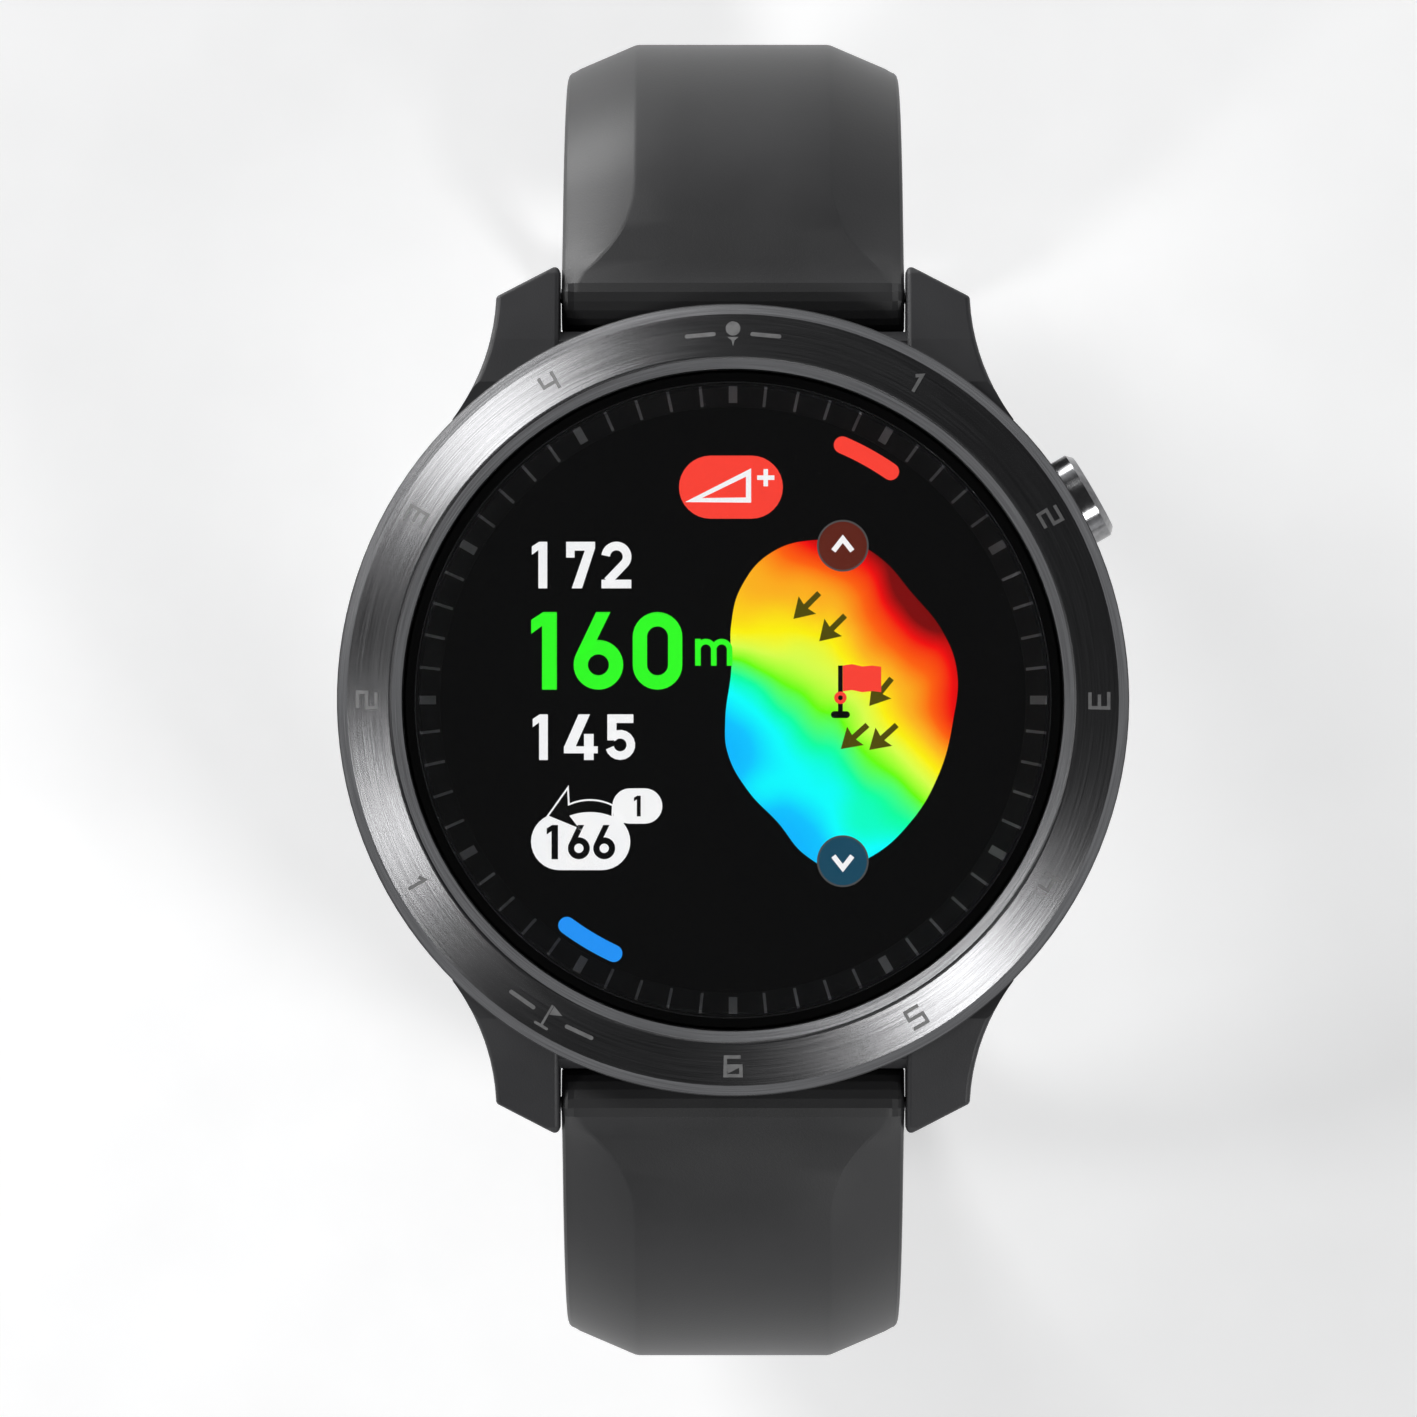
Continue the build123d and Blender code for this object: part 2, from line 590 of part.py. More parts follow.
with BuildPart() as hole_strap:
    add(strap_blank(HOLE_RUN, DRAPE + [(99.8, 22.0), (20.0, 68.0), (32.0,)], False))
    with BuildSketch(along(HOLE_RUN, HOLE_LENGTH - STRAP_END_HALF)):
        with Locations((0, STRAP_END_HALF / 2 + 1)):
            Rectangle(2 * STRAP_END_HALF + 2, STRAP_END_HALF + 2)
        Circle(STRAP_END_HALF, mode=Mode.SUBTRACT)
    extrude(amount=4, both=True, mode=Mode.SUBTRACT)
    for hole in range(HOLE_COUNT):
        with BuildSketch(along(HOLE_RUN, HOLE_LENGTH - FIRST_HOLE - hole * HOLE_PITCH)):
            Ellipse(HOLE_WIDE / 2, HOLE_LONG / 2)
        extrude(amount=4, both=True, mode=Mode.SUBTRACT)
    mirror(about=Plane.XZ, mode=Mode.REPLACE)
save(hole_strap.part, "strap_6")

# ---------------------------------------------------------------- spring bars
with BuildPart() as bar_12:
    with Locations(Plane(origin=(0, HINGE_Y, HINGE_Z), z_dir=(1, 0, 0))):
        Cylinder(BAR_R, 2 * BAR_HALF)
        Cylinder(TIP_R, 2 * TIP_HALF)
    with BuildSketch(Plane(origin=(BAR_SPRING_X, HINGE_Y, HINGE_Z), z_dir=(1, 0, 0))):
        Circle(BAR_BORE_R)
    extrude(amount=12, mode=Mode.SUBTRACT)
    with BuildSketch(along(BUCKLE_RUN, 0)):
        with Locations((6.35, 0)):
            Rectangle(2.2, 0.8)
    extrude(amount=-2, mode=Mode.SUBTRACT)
with BuildPart() as plunger_12:
    with Locations(Plane(origin=(0, HINGE_Y, HINGE_Z), z_dir=(1, 0, 0))):
        with Locations((0, 0, 4.5)):
            Cylinder(BAR_BORE_R - 0.04, 5.4, align=(Align.CENTER, Align.CENTER, Align.MIN))
            Cylinder(TIP_R, TIP_HALF - 4.5, align=(Align.CENTER, Align.CENTER, Align.MIN))
    with BuildSketch(along(BUCKLE_RUN, 0)):
        with Locations((LEVER_X, 0)):
            Circle(0.35)
    extrude(amount=-2.7)
spring_plane = Plane(origin=(BAR_SPRING_X + 0.05, HINGE_Y, HINGE_Z), z_dir=(1, 0, 0))
spring_12 = coil(spring_plane, 0.4, 0.14, 2.5, 6.0)
for side, about in (("12", None), ("6", Plane.XZ)):
    for piece, name in (
        (bar_12.part, "spring_bar"), (plunger_12.part, "release_plunger"), (spring_12, "plunger_spring"),
    ):
        save(piece if about is None else piece.mirror(about), f"{name}_{side}")

# ---------------------------------------------------------------- buckle
with BuildPart() as frame:
    with BuildSketch(HANGING):
        with Locations((0, (CROSSBAR_BOTTOM - FRAME_UP) / 2)):
            RectangleRounded(2 * FRAME_OUT, CROSSBAR_BOTTOM + FRAME_UP, 1.2)
        with Locations((0, (CROSSBAR_TOP - 4) / 2)):
            Rectangle(2 * FRAME_IN, CROSSBAR_TOP + 4, mode=Mode.SUBTRACT)
    extrude(amount=FRAME_THICK / 2, both=True)
    chamfer(frame.faces().filter_by(Axis.Y).edges(), 0.25)
    with BuildSketch(bar_plane):
        Circle(BAR_R)
    extrude(amount=BUCKLE_BAR_LONG / 2, both=True, mode=Mode.SUBTRACT)
save(frame.part, "buckle_frame")
with BuildPart() as buckle_bar:
    with Locations(bar_plane):
        Cylinder(BAR_R, BUCKLE_BAR_LONG)
save(buckle_bar.part, "buckle_bar")
with BuildPart() as tongue:
    with BuildSketch(bar_plane):
        Circle(TONGUE_EYE_R)
    extrude(amount=1.2, both=True)
    # in this plane x is +Y, outwards, and y is up
    with BuildSketch(Plane(origin=STRAP_END.origin, x_dir=(0, 1, 0), z_dir=(1, 0, 0))):
        with BuildLine():
            Polyline(
                (1.25, 0), (1.85, -2.2), (1.95, -9.0), (1.6, -10.0), (1.0, -10.0), (0.95, -7.0),
                (0.6, -1.4), (0, 0), close=True,
            )
        make_face()
    extrude(amount=1.1, both=True)
    with BuildSketch(bar_plane):
        Circle(BAR_R + RUNNING)
    extrude(amount=3, both=True, mode=Mode.SUBTRACT)
save(tongue.part, "buckle_tongue")


def keeper(distance, inner_half, skin_gap):
    """A strap loop, wide enough outwards for the strap's other half."""
    plane = turn_to_lead(along(BUCKLE_RUN, distance))
    inner_top = STRAP_OUT + KEEPER_SPACE
    inner_bottom = STRAP_IN + skin_gap
    with BuildPart() as loop:
        with BuildSketch(plane):
            with Locations((0, (inner_bottom - inner_top) / 2)):
                RectangleRounded(
                    2 * (inner_half + KEEPER_WALL), inner_top + inner_bottom + 2.4, 1.5
                )
                Rectangle(2 * inner_half, inner_top + inner_bottom, mode=Mode.SUBTRACT)
        extrude(amount=KEEPER_WIDE / 2, both=True)
        loop_faces = loop.faces().filter_by(lambda f: abs(f.normal_at().dot(plane.z_dir)) > 0.99)
        chamfer(loop_faces.edges(), 0.25)
    return loop.part


save(keeper(BUCKLE_LENGTH - FIXED_KEEPER_AT, STRAP_END_HALF + 0.12, 0.0), "fixed_keeper")
save(keeper(BUCKLE_LENGTH - SLIDING_KEEPER_AT, STRAP_END_HALF + 0.24, 0.05), "sliding_keeper")
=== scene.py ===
"""The looks of the golf GPS watch: its straps, bezel legends, lit display, materials, light and camera."""

from math import cos, pi, radians, sin, sqrt, tan

import bmesh
import bpy
from mathutils import Matrix, Vector


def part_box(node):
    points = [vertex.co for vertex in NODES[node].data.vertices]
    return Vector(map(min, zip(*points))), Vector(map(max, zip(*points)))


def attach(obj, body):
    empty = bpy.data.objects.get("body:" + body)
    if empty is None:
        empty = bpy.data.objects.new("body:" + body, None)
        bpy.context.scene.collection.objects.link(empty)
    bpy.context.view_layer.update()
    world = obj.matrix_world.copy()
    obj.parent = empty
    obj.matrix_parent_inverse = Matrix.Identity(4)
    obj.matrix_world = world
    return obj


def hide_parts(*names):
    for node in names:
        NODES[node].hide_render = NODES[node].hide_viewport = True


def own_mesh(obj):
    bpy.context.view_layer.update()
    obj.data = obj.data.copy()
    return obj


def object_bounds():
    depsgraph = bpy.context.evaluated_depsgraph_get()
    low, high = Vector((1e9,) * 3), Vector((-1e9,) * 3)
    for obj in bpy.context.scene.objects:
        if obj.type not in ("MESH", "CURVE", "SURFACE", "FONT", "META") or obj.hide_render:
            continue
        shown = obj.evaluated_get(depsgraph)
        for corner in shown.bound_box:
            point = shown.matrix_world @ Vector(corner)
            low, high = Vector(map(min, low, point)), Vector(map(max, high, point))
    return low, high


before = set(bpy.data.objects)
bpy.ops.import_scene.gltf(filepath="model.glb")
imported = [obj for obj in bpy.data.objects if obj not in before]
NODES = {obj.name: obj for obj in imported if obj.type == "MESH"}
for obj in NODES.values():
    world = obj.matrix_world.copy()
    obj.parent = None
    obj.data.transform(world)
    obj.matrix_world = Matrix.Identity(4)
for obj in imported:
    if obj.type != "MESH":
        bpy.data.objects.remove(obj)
PACKED_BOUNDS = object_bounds()
MM = 0.001
WELD = 0.0005 * MM
CURVE_STEPS = 24
MITRE_LIMIT = 0.3  # the least cosine that a mitre's reach is divided by

# ---------------------------------------------------------------- sizes read from the frame
BEZEL_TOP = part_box("bezel_ring")[1].z
SCREEN_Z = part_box("display_panel")[1].z
CHAPTER_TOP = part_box("chapter_ring")[1].z
BAR_LOW, BAR_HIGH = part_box("spring_bar_12")
HINGE_Y = (BAR_LOW.y + BAR_HIGH.y) / 2
HINGE_Z = (BAR_LOW.z + BAR_HIGH.z) / 2


# ---------------------------------------------------------------- mesh helpers
def new_object(name, data):
    """An object in the scene that holds a mesh, curve, light or camera."""
    made = bpy.data.objects.new(name, data)
    bpy.context.scene.collection.objects.link(made)
    return made


def scaled(points):
    """Points in millimetres, as metres."""
    return [(x * MM, y * MM) for x, y in points]


def turn_outwards(mesh):
    """Welds a mesh and turns all its faces outwards."""
    bm = bmesh.new()
    bm.from_mesh(mesh)
    bmesh.ops.remove_doubles(bm, verts=bm.verts, dist=WELD)
    bmesh.ops.recalc_face_normals(bm, faces=bm.faces)
    if bm.calc_volume(signed=True) < 0:
        bmesh.ops.reverse_faces(bm, faces=bm.faces)
    bm.to_mesh(mesh)
    bm.free()


def add_mesh(name, vertices, faces):
    """A mesh object from its vertices and faces."""
    mesh = bpy.data.meshes.new(name)
    mesh.from_pydata([tuple(v) for v in vertices], [], faces)
    turn_outwards(mesh)
    return new_object(name, mesh)


def finish_piece(piece, body, material):
    """Gives a piece its material and body."""
    piece.data.materials.clear()
    piece.data.materials.append(material)
    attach(piece, body)


def join_pieces(name, pieces):
    """One mesh object out of several."""
    bm = bmesh.new()
    for piece in pieces:
        piece.data.transform(piece.matrix_world)
        bm.from_mesh(piece.data)
        bpy.data.objects.remove(piece)
    mesh = bpy.data.meshes.new(name)
    bm.to_mesh(mesh)
    bm.free()
    return new_object(name, mesh)


def flat_shape(name, outlines, thickness, base_z=0.0, curved=False):
    """A thin plate from closed outlines, holes included, standing on base_z. Points are in metres."""
    curve = bpy.data.curves.new(name, "CURVE")
    curve.dimensions = "2D"
    curve.fill_mode = "BOTH"
    curve.extrude = thickness / 2
    curve.resolution_u = CURVE_STEPS
    for outline in outlines:
        if curved:
            spline = curve.splines.new("BEZIER")
            spline.bezier_points.add(len(outline) - 1)
            for point, place in zip(spline.bezier_points, outline):
                point.co = (*place, 0)
                point.handle_left_type = "AUTO"
                point.handle_right_type = "AUTO"
        else:
            spline = curve.splines.new("POLY")
            spline.points.add(len(outline) - 1)
            for point, place in zip(spline.points, outline):
                point.co = (*place, 0, 1)
        spline.use_cyclic_u = True
    return curve_to_mesh(name, curve, base_z + thickness / 2)


def curve_to_mesh(name, curve, height):
    """A curve turned into a mesh object at a height."""
    source = new_object(name + "_curve", curve)
    bpy.context.view_layer.update()
    mesh = bpy.data.meshes.new_from_object(source.evaluated_get(bpy.context.evaluated_depsgraph_get()))
    bpy.data.objects.remove(source)
    mesh.name = name
    mesh.transform(Matrix.Translation((0, 0, height)))
    turn_outwards(mesh)
    return new_object(name, mesh)


def arc_points(centre, radius, start, end, steps=16):
    """Points along an arc, with its angles in degrees."""
    angles = [radians(start + (end - start) * i / steps) for i in range(steps + 1)]
    return [(centre[0] + radius * cos(a), centre[1] + radius * sin(a)) for a in angles]


def capsule(centre, width, height):
    """The outline of a level bar with round ends."""
    reach = (width - height) / 2
    right = arc_points((centre[0] + reach, centre[1]), height / 2, -90, 90)
    left = arc_points((centre[0] - reach, centre[1]), height / 2, 90, 270)
    return right + left


def thick_line(points, width, closed=False):
    """The outline of a mitred line of one width; a closed line gives its outer and inner loops."""
    sides = ([], [])
    for i, here in enumerate(points):
        before = points[i - 1] if closed else points[max(i - 1, 0)]
        after = points[(i + 1) % len(points)] if closed else points[min(i + 1, len(points) - 1)]
        first = Vector(here) - Vector(before)
        second = Vector(after) - Vector(here)
        first = (first if first.length else second).normalized()
        second = (second if second.length else first).normalized()
        bisector = (first + second).normalized()
        normal = Vector((-bisector.y, bisector.x))
        reach = width / 2 / max(normal.dot(Vector((-first.y, first.x))), MITRE_LIMIT)
        sides[0].append((here[0] + normal.x * reach, here[1] + normal.y * reach))
        sides[1].append((here[0] - normal.x * reach, here[1] - normal.y * reach))
    return sides if closed else sides[0] + sides[1][::-1]


# ---------------------------------------------------------------- material helpers
# Noise scales are in steps per metre.
PATCH_SCALE = 90
DUST_SCALE = 300
PIXEL_SCALE = 14000
PANEL_SCALE = 12000
RING_SCALE = 14000.0
NOISE_ROUGHNESS = 0.6
RING_BREAKS = 3.0  # how often a brushed line breaks up along its length
TINT_LOW, TINT_HIGH = 0.3, 0.7  # the noise values that give a tint's two colours
MOULDED_BUMP, METAL_BUMP = 0.35, 0.25
GRAIN_DEPTH, SCRATCH_DEPTH = 0.02 * MM, 0.006 * MM
BRUSHED_ANISOTROPY = 0.85
PIXEL_FADE = 0.94
LIT_SURFACE = (0.1, 0.1, 0.1, 1)  # how much of its light's colour a lit surface has
MIX_FIRST, MIX_SECOND, MIX_RESULT = 6, 7, 2  # a mix node's colour sockets


def new_material(name):
    """A material with its node tree and its shader."""
    material = bpy.data.materials.new(name)
    material.use_nodes = True
    tree = material.node_tree
    return material, tree, tree.nodes["Principled BSDF"]


def add_node(tree, kind, **values):
    """A node with its properties, and its inputs where a name is one."""
    node = tree.nodes.new(kind)
    for key, value in values.items():
        if hasattr(node, key):
            setattr(node, key, value)
        else:
            node.inputs[key.replace("_", " ")].default_value = value
    return node


def math_node(tree, operation, first, second):
    """One step of arithmetic on two sources, each a socket or a number."""
    node = add_node(tree, "ShaderNodeMath", operation=operation)
    for socket, source in zip(node.inputs, (first, second)):
        if isinstance(source, (int, float)):
            socket.default_value = source
        else:
            tree.links.new(source, socket)
    return node.outputs["Value"]


def noise(tree, scale, detail, stretch=None):
    """Noise over the object's own coordinates, stretched along its axes if asked."""
    coordinates = add_node(tree, "ShaderNodeTexCoord")
    texture = add_node(tree, "ShaderNodeTexNoise", Scale=scale, Detail=detail, Roughness=NOISE_ROUGHNESS)
    if stretch is None:
        tree.links.new(coordinates.outputs["Object"], texture.inputs["Vector"])
    else:
        mapping = add_node(tree, "ShaderNodeMapping", Scale=stretch)
        tree.links.new(coordinates.outputs["Object"], mapping.inputs["Vector"])
        tree.links.new(mapping.outputs["Vector"], texture.inputs["Vector"])
    return texture


def spread(tree, source, low, high):
    """A 0 to 1 value moved to a range."""
    node = add_node(tree, "ShaderNodeMapRange")
    node.inputs["To Min"].default_value = low
    node.inputs["To Max"].default_value = high
    tree.links.new(source, node.inputs["Value"])
    return node.outputs["Result"]


def tint(tree, source, dark, light):
    """A 0 to 1 value turned into a colour between two."""
    ramp = add_node(tree, "ShaderNodeValToRGB")
    for element, position, colour in zip(ramp.color_ramp.elements, (TINT_LOW, TINT_HIGH), (dark, light)):
        element.position = position
        element.color = (*colour, 1)
    tree.links.new(source, ramp.inputs["Fac"])
    return ramp.outputs["Color"]


def add_bump(tree, shader, source, strength, distance):
    """A relief from a 0 to 1 value."""
    bump = add_node(tree, "ShaderNodeBump", Strength=strength, Distance=distance)
    tree.links.new(source, bump.inputs["Height"])
    tree.links.new(bump.outputs["Normal"], shader.inputs["Normal"])


def moulded(name, dark, light, roughness=(0.4, 0.55), grain=9000, coat=0.0, shine=0.5):
    """Moulded plastic or rubber: a fine grain, with slow changes in colour and gloss."""
    material, tree, shader = new_material(name)
    slow = noise(tree, PATCH_SCALE, detail=4)
    fine = noise(tree, grain, detail=2)
    tree.links.new(tint(tree, slow.outputs["Fac"], dark, light), shader.inputs["Base Color"])
    tree.links.new(spread(tree, slow.outputs["Fac"], *roughness), shader.inputs["Roughness"])
    add_bump(tree, shader, fine.outputs["Fac"], MOULDED_BUMP, GRAIN_DEPTH)
    shader.inputs["Coat Weight"].default_value = coat
    shader.inputs["Specular IOR Level"].default_value = shine
    return material


def metal(name, dark, light, roughness=(0.22, 0.36), stretch=None, grain=2500, around=False):
    """Metal with a worked surface: fine scratches along one axis, or round the dial."""
    material, tree, shader = new_material(name)
    shader.inputs["Metallic"].default_value = 1.0
    if around:
        lines = brushed_rings(tree, shader)
    else:
        lines = noise(tree, grain, detail=3, stretch=stretch).outputs["Fac"]
    tree.links.new(tint(tree, lines, dark, light), shader.inputs["Base Color"])
    tree.links.new(spread(tree, lines, *roughness), shader.inputs["Roughness"])
    add_bump(tree, shader, lines, METAL_BUMP, SCRATCH_DEPTH)
    return material


def brushed_rings(tree, shader):
    """Fine lines that run round the dial, broken up along their length."""
    shader.inputs["Anisotropic"].default_value = BRUSHED_ANISOTROPY
    tangent = add_node(tree, "ShaderNodeTangent", direction_type="RADIAL", axis="Z")
    tree.links.new(tangent.outputs["Tangent"], shader.inputs["Tangent"])
    coordinates = add_node(tree, "ShaderNodeTexCoord")
    split = add_node(tree, "ShaderNodeSeparateXYZ")
    tree.links.new(coordinates.outputs["Object"], split.inputs["Vector"])
    flat = add_node(tree, "ShaderNodeCombineXYZ")
    tree.links.new(split.outputs["X"], flat.inputs["X"])
    tree.links.new(split.outputs["Y"], flat.inputs["Y"])
    radius = add_node(tree, "ShaderNodeVectorMath", operation="LENGTH")
    tree.links.new(flat.outputs["Vector"], radius.inputs[0])
    direction = add_node(tree, "ShaderNodeVectorMath", operation="NORMALIZE")
    tree.links.new(flat.outputs["Vector"], direction.inputs[0])
    along = add_node(tree, "ShaderNodeVectorMath", operation="SCALE")
    along.inputs["Scale"].default_value = RING_BREAKS
    tree.links.new(direction.outputs["Vector"], along.inputs[0])
    lift = add_node(tree, "ShaderNodeCombineXYZ")
    tree.links.new(math_node(tree, "MULTIPLY", radius.outputs["Value"], RING_SCALE), lift.inputs["Z"])
    place = add_node(tree, "ShaderNodeVectorMath", operation="ADD")
    tree.links.new(along.outputs["Vector"], place.inputs[0])
    tree.links.new(lift.outputs["Vector"], place.inputs[1])
    lines = add_node(tree, "ShaderNodeTexNoise", Scale=1.0, Detail=4.0, Roughness=0.7)
    tree.links.new(place.outputs["Vector"], lines.inputs["Vector"])
    return lines.outputs["Fac"]


def darkened(tree, colour):
    """The colour of a lit pixel's own surface, far darker than its light."""
    mix = add_node(tree, "ShaderNodeMix", data_type="RGBA", blend_type="MULTIPLY")
    mix.inputs["Factor"].default_value = 1.0
    tree.links.new(colour, mix.inputs[MIX_FIRST])
    mix.inputs[MIX_SECOND].default_value = LIT_SURFACE
    return mix.outputs[MIX_RESULT]


def glowing(name, colour, strength):
    """A lit part of the display, with the faint unevenness of its pixels."""
    material, tree, shader = new_material(name)
    cells = noise(tree, PIXEL_SCALE, detail=1)
    faint = tuple(c * PIXEL_FADE for c in colour)
    shade = tint(tree, cells.outputs["Fac"], faint, colour)
    tree.links.new(darkened(tree, shade), shader.inputs["Base Color"])
    tree.links.new(shade, shader.inputs["Emission Color"])
    shader.inputs["Emission Strength"].default_value = strength
    shader.inputs["Roughness"].default_value = 0.6
    shader.inputs["Specular IOR Level"].default_value = 0.1
    return material


# ---------------------------------------------------------------- the watch's materials
CASE_BLACK = moulded("case_black", (0.016, 0.016, 0.018), (0.026, 0.026, 0.028), roughness=(0.42, 0.55))
SILICONE = moulded(
    "strap_silicone", (0.021, 0.021, 0.022), (0.03, 0.03, 0.031), roughness=(0.4, 0.5), grain=7000,
)
RUBBER = moulded("gasket_rubber", (0.008, 0.008, 0.008), (0.015, 0.015, 0.015))
CHAPTER = moulded(
    "chapter_black", (0.002, 0.002, 0.0022), (0.004, 0.004, 0.0045), roughness=(0.6, 0.7), shine=0.05,
)
BEZEL = metal("bezel_metal", (0.09, 0.09, 0.092), (0.19, 0.19, 0.194), roughness=(0.2, 0.3), around=True)
LEGEND = metal("legend_grey", (0.2, 0.2, 0.2), (0.27, 0.27, 0.27), roughness=(0.6, 0.7))
TICK = moulded("tick_grey", (0.06, 0.06, 0.062), (0.085, 0.085, 0.09))
BUTTON = metal("button_metal", (0.2, 0.2, 0.205), (0.3, 0.3, 0.305), roughness=(0.12, 0.2))
STEEL = metal("steel", (0.42, 0.42, 0.43), (0.6, 0.6, 0.61), stretch=(0.08, 1, 1))
BUCKLE = metal("buckle_metal", (0.2, 0.2, 0.21), (0.32, 0.32, 0.33), stretch=(0.06, 1, 1))
BACK = metal("back_metal", (0.18, 0.18, 0.19), (0.27, 0.27, 0.28), roughness=(0.4, 0.5), grain=6000)
SCREW = metal("screw_black", (0.03, 0.03, 0.033), (0.06, 0.06, 0.065), roughness=(0.3, 0.4))
GOLD = metal("contact_gold", (0.7, 0.45, 0.16), (0.9, 0.62, 0.26), roughness=(0.15, 0.25))
COPPER = metal("antenna_copper", (0.55, 0.25, 0.13), (0.75, 0.38, 0.2))
TIN = metal("shield_tin", (0.45, 0.45, 0.44), (0.62, 0.62, 0.6))
FOIL = metal("battery_foil", (0.5, 0.5, 0.52), (0.72, 0.72, 0.74), roughness=(0.3, 0.45))
BOARD = moulded("board_green", (0.01, 0.07, 0.035), (0.02, 0.12, 0.06), roughness=(0.25, 0.35), coat=0.3)
CHIP = moulded("chip_black", (0.012, 0.012, 0.013), (0.022, 0.022, 0.024))
INNER = moulded("inner_plastic", (0.035, 0.035, 0.04), (0.06, 0.06, 0.065))
WHITE = moulded("diffuser_white", (0.65, 0.65, 0.63), (0.8, 0.8, 0.78))
AMBER = moulded("flex_amber", (0.4, 0.16, 0.02), (0.6, 0.28, 0.05), roughness=(0.2, 0.3))
PAD = moulded("pad_blue", (0.03, 0.1, 0.3), (0.05, 0.16, 0.42))
WIRE = moulded("wire_red", (0.4, 0.01, 0.01), (0.55, 0.03, 0.02))


def make_glass():
    """Hardened cover glass, clear with a trace of dust in its gloss."""
    material, tree, shader = new_material("glass")
    shader.inputs["Transmission Weight"].default_value = 1.0
    shader.inputs["IOR"].default_value = 1.45
    haze = noise(tree, DUST_SCALE, detail=3).outputs["Fac"]
    tree.links.new(spread(tree, haze, 0.0, 0.03), shader.inputs["Roughness"])
    tree.links.new(tint(tree, haze, (0.97, 0.98, 1.0), (1, 1, 1)), shader.inputs["Base Color"])
    return material


def make_screen():
    """The display's dark glass, where nothing is lit."""
    material, tree, shader = new_material("display")
    cells = noise(tree, PANEL_SCALE, detail=1).outputs["Fac"]
    shade = tint(tree, cells, (0.0008, 0.0008, 0.0009), (0.0014, 0.0014, 0.0015))
    tree.links.new(shade, shader.inputs["Base Color"])
    tree.links.new(spread(tree, cells, 0.25, 0.35), shader.inputs["Roughness"])
    shader.inputs["Specular IOR Level"].default_value = 0.02
    return material


GLASS = make_glass()
SCREEN = make_screen()

NODE_MATERIALS = {
    CASE_BLACK: ["mid_case"],
    SILICONE: ["fixed_keeper", "sliding_keeper", "strap_12", "strap_6"],
    RUBBER: ["bezel_gasket", "glass_gasket", "back_gasket", "button_o_ring"],
    CHAPTER: ["chapter_ring"],
    BEZEL: ["bezel_ring"],
    BUTTON: ["button_cap"],
    STEEL: [
        "button_clip", "button_sleeve", "button_spring", "vibration_motor", "spring_bar_12", "spring_bar_6",
        "release_plunger_12", "release_plunger_6", "plunger_spring_12", "plunger_spring_6",
    ],
    BUCKLE: ["buckle_frame", "buckle_bar", "buckle_tongue"],
    BACK: ["back_cover"],
    SCREW: ["back_screws"],
    GOLD: ["charge_contacts"],
    COPPER: ["gps_antenna"],
    TIN: ["rf_shield"],
    FOIL: ["battery"],
    BOARD: ["main_board"],
    CHIP: ["processor_chip", "memory_chip", "gps_receiver", "motion_sensor"],
    INNER: ["display_frame", "board_connectors", "side_switch", "contact_block"],
    WHITE: ["backlight_unit"],
    AMBER: ["display_flex"],
    PAD: ["battery_pad"],
    WIRE: ["battery_lead"],
    GLASS: ["cover_glass"],
    SCREEN: ["display_panel"],
}
for material, names in NODE_MATERIALS.items():
    for name in names:
        NODES[name].data.materials.clear()
        NODES[name].data.materials.append(material)


# ---------------------------------------------------------------- ticks under the glass
CHAPTER_INNER_R, CHAPTER_RIM_R = 17.0 * MM, 18.1 * MM
CHAPTER_FOOT_Z = 9.75 * MM
CHAPTER_SLOPE = (CHAPTER_TOP - CHAPTER_FOOT_Z) / (CHAPTER_RIM_R - CHAPTER_INNER_R)
TICK_RISE = 0.025 * MM
HOUR_TICK = ((17.22, 18.1, 18.18), 0.5)  # radii from end to end, and width, in millimetres
MINUTE_TICK = ((17.08, 18.1, 18.26), 0.17)


def chapter_height(radius):
    """How high the chapter ring's sloping face is at a radius."""
    return min(CHAPTER_FOOT_Z + (radius - CHAPTER_INNER_R) * CHAPTER_SLOPE, CHAPTER_TOP)


def radial_bar(angle, radii, width, lift):
    """A thin bar that points at the dial's centre and follows the chapter ring through some radii."""
    out = Vector((sin(angle), cos(angle), 0))
    side = Vector((cos(angle), -sin(angle), 0)) * width / 2
    vertices = []
    for radius in radii:
        base = out * radius + Vector((0, 0, chapter_height(radius)))
        rise = Vector((0, 0, lift))
        vertices += [base - side - rise, base + side - rise, base + side + rise, base - side + rise]
    faces = [(0, 1, 2, 3)]
    for start in range(0, len(vertices) - 4, 4):
        faces += [tuple(start + i for i in (k, k + 4, (k + 1) % 4 + 4, (k + 1) % 4)) for k in range(4)]
    faces.append(tuple(range(len(vertices) - 1, len(vertices) - 5, -1)))
    return vertices, faces


def make_ticks():
    """Sixty ticks, each fifth one broader."""
    vertices, faces = [], []
    for minute in range(60):
        radii, width = MINUTE_TICK if minute % 5 else HOUR_TICK
        radii = [r * MM for r in radii]
        corners, sides = radial_bar(minute * pi / 30, radii, width * MM, TICK_RISE)
        faces += [tuple(i + len(vertices) for i in side) for side in sides]
        vertices += corners
    ticks = add_mesh("dial_ticks", vertices, faces)
    finish_piece(ticks, "case", TICK)


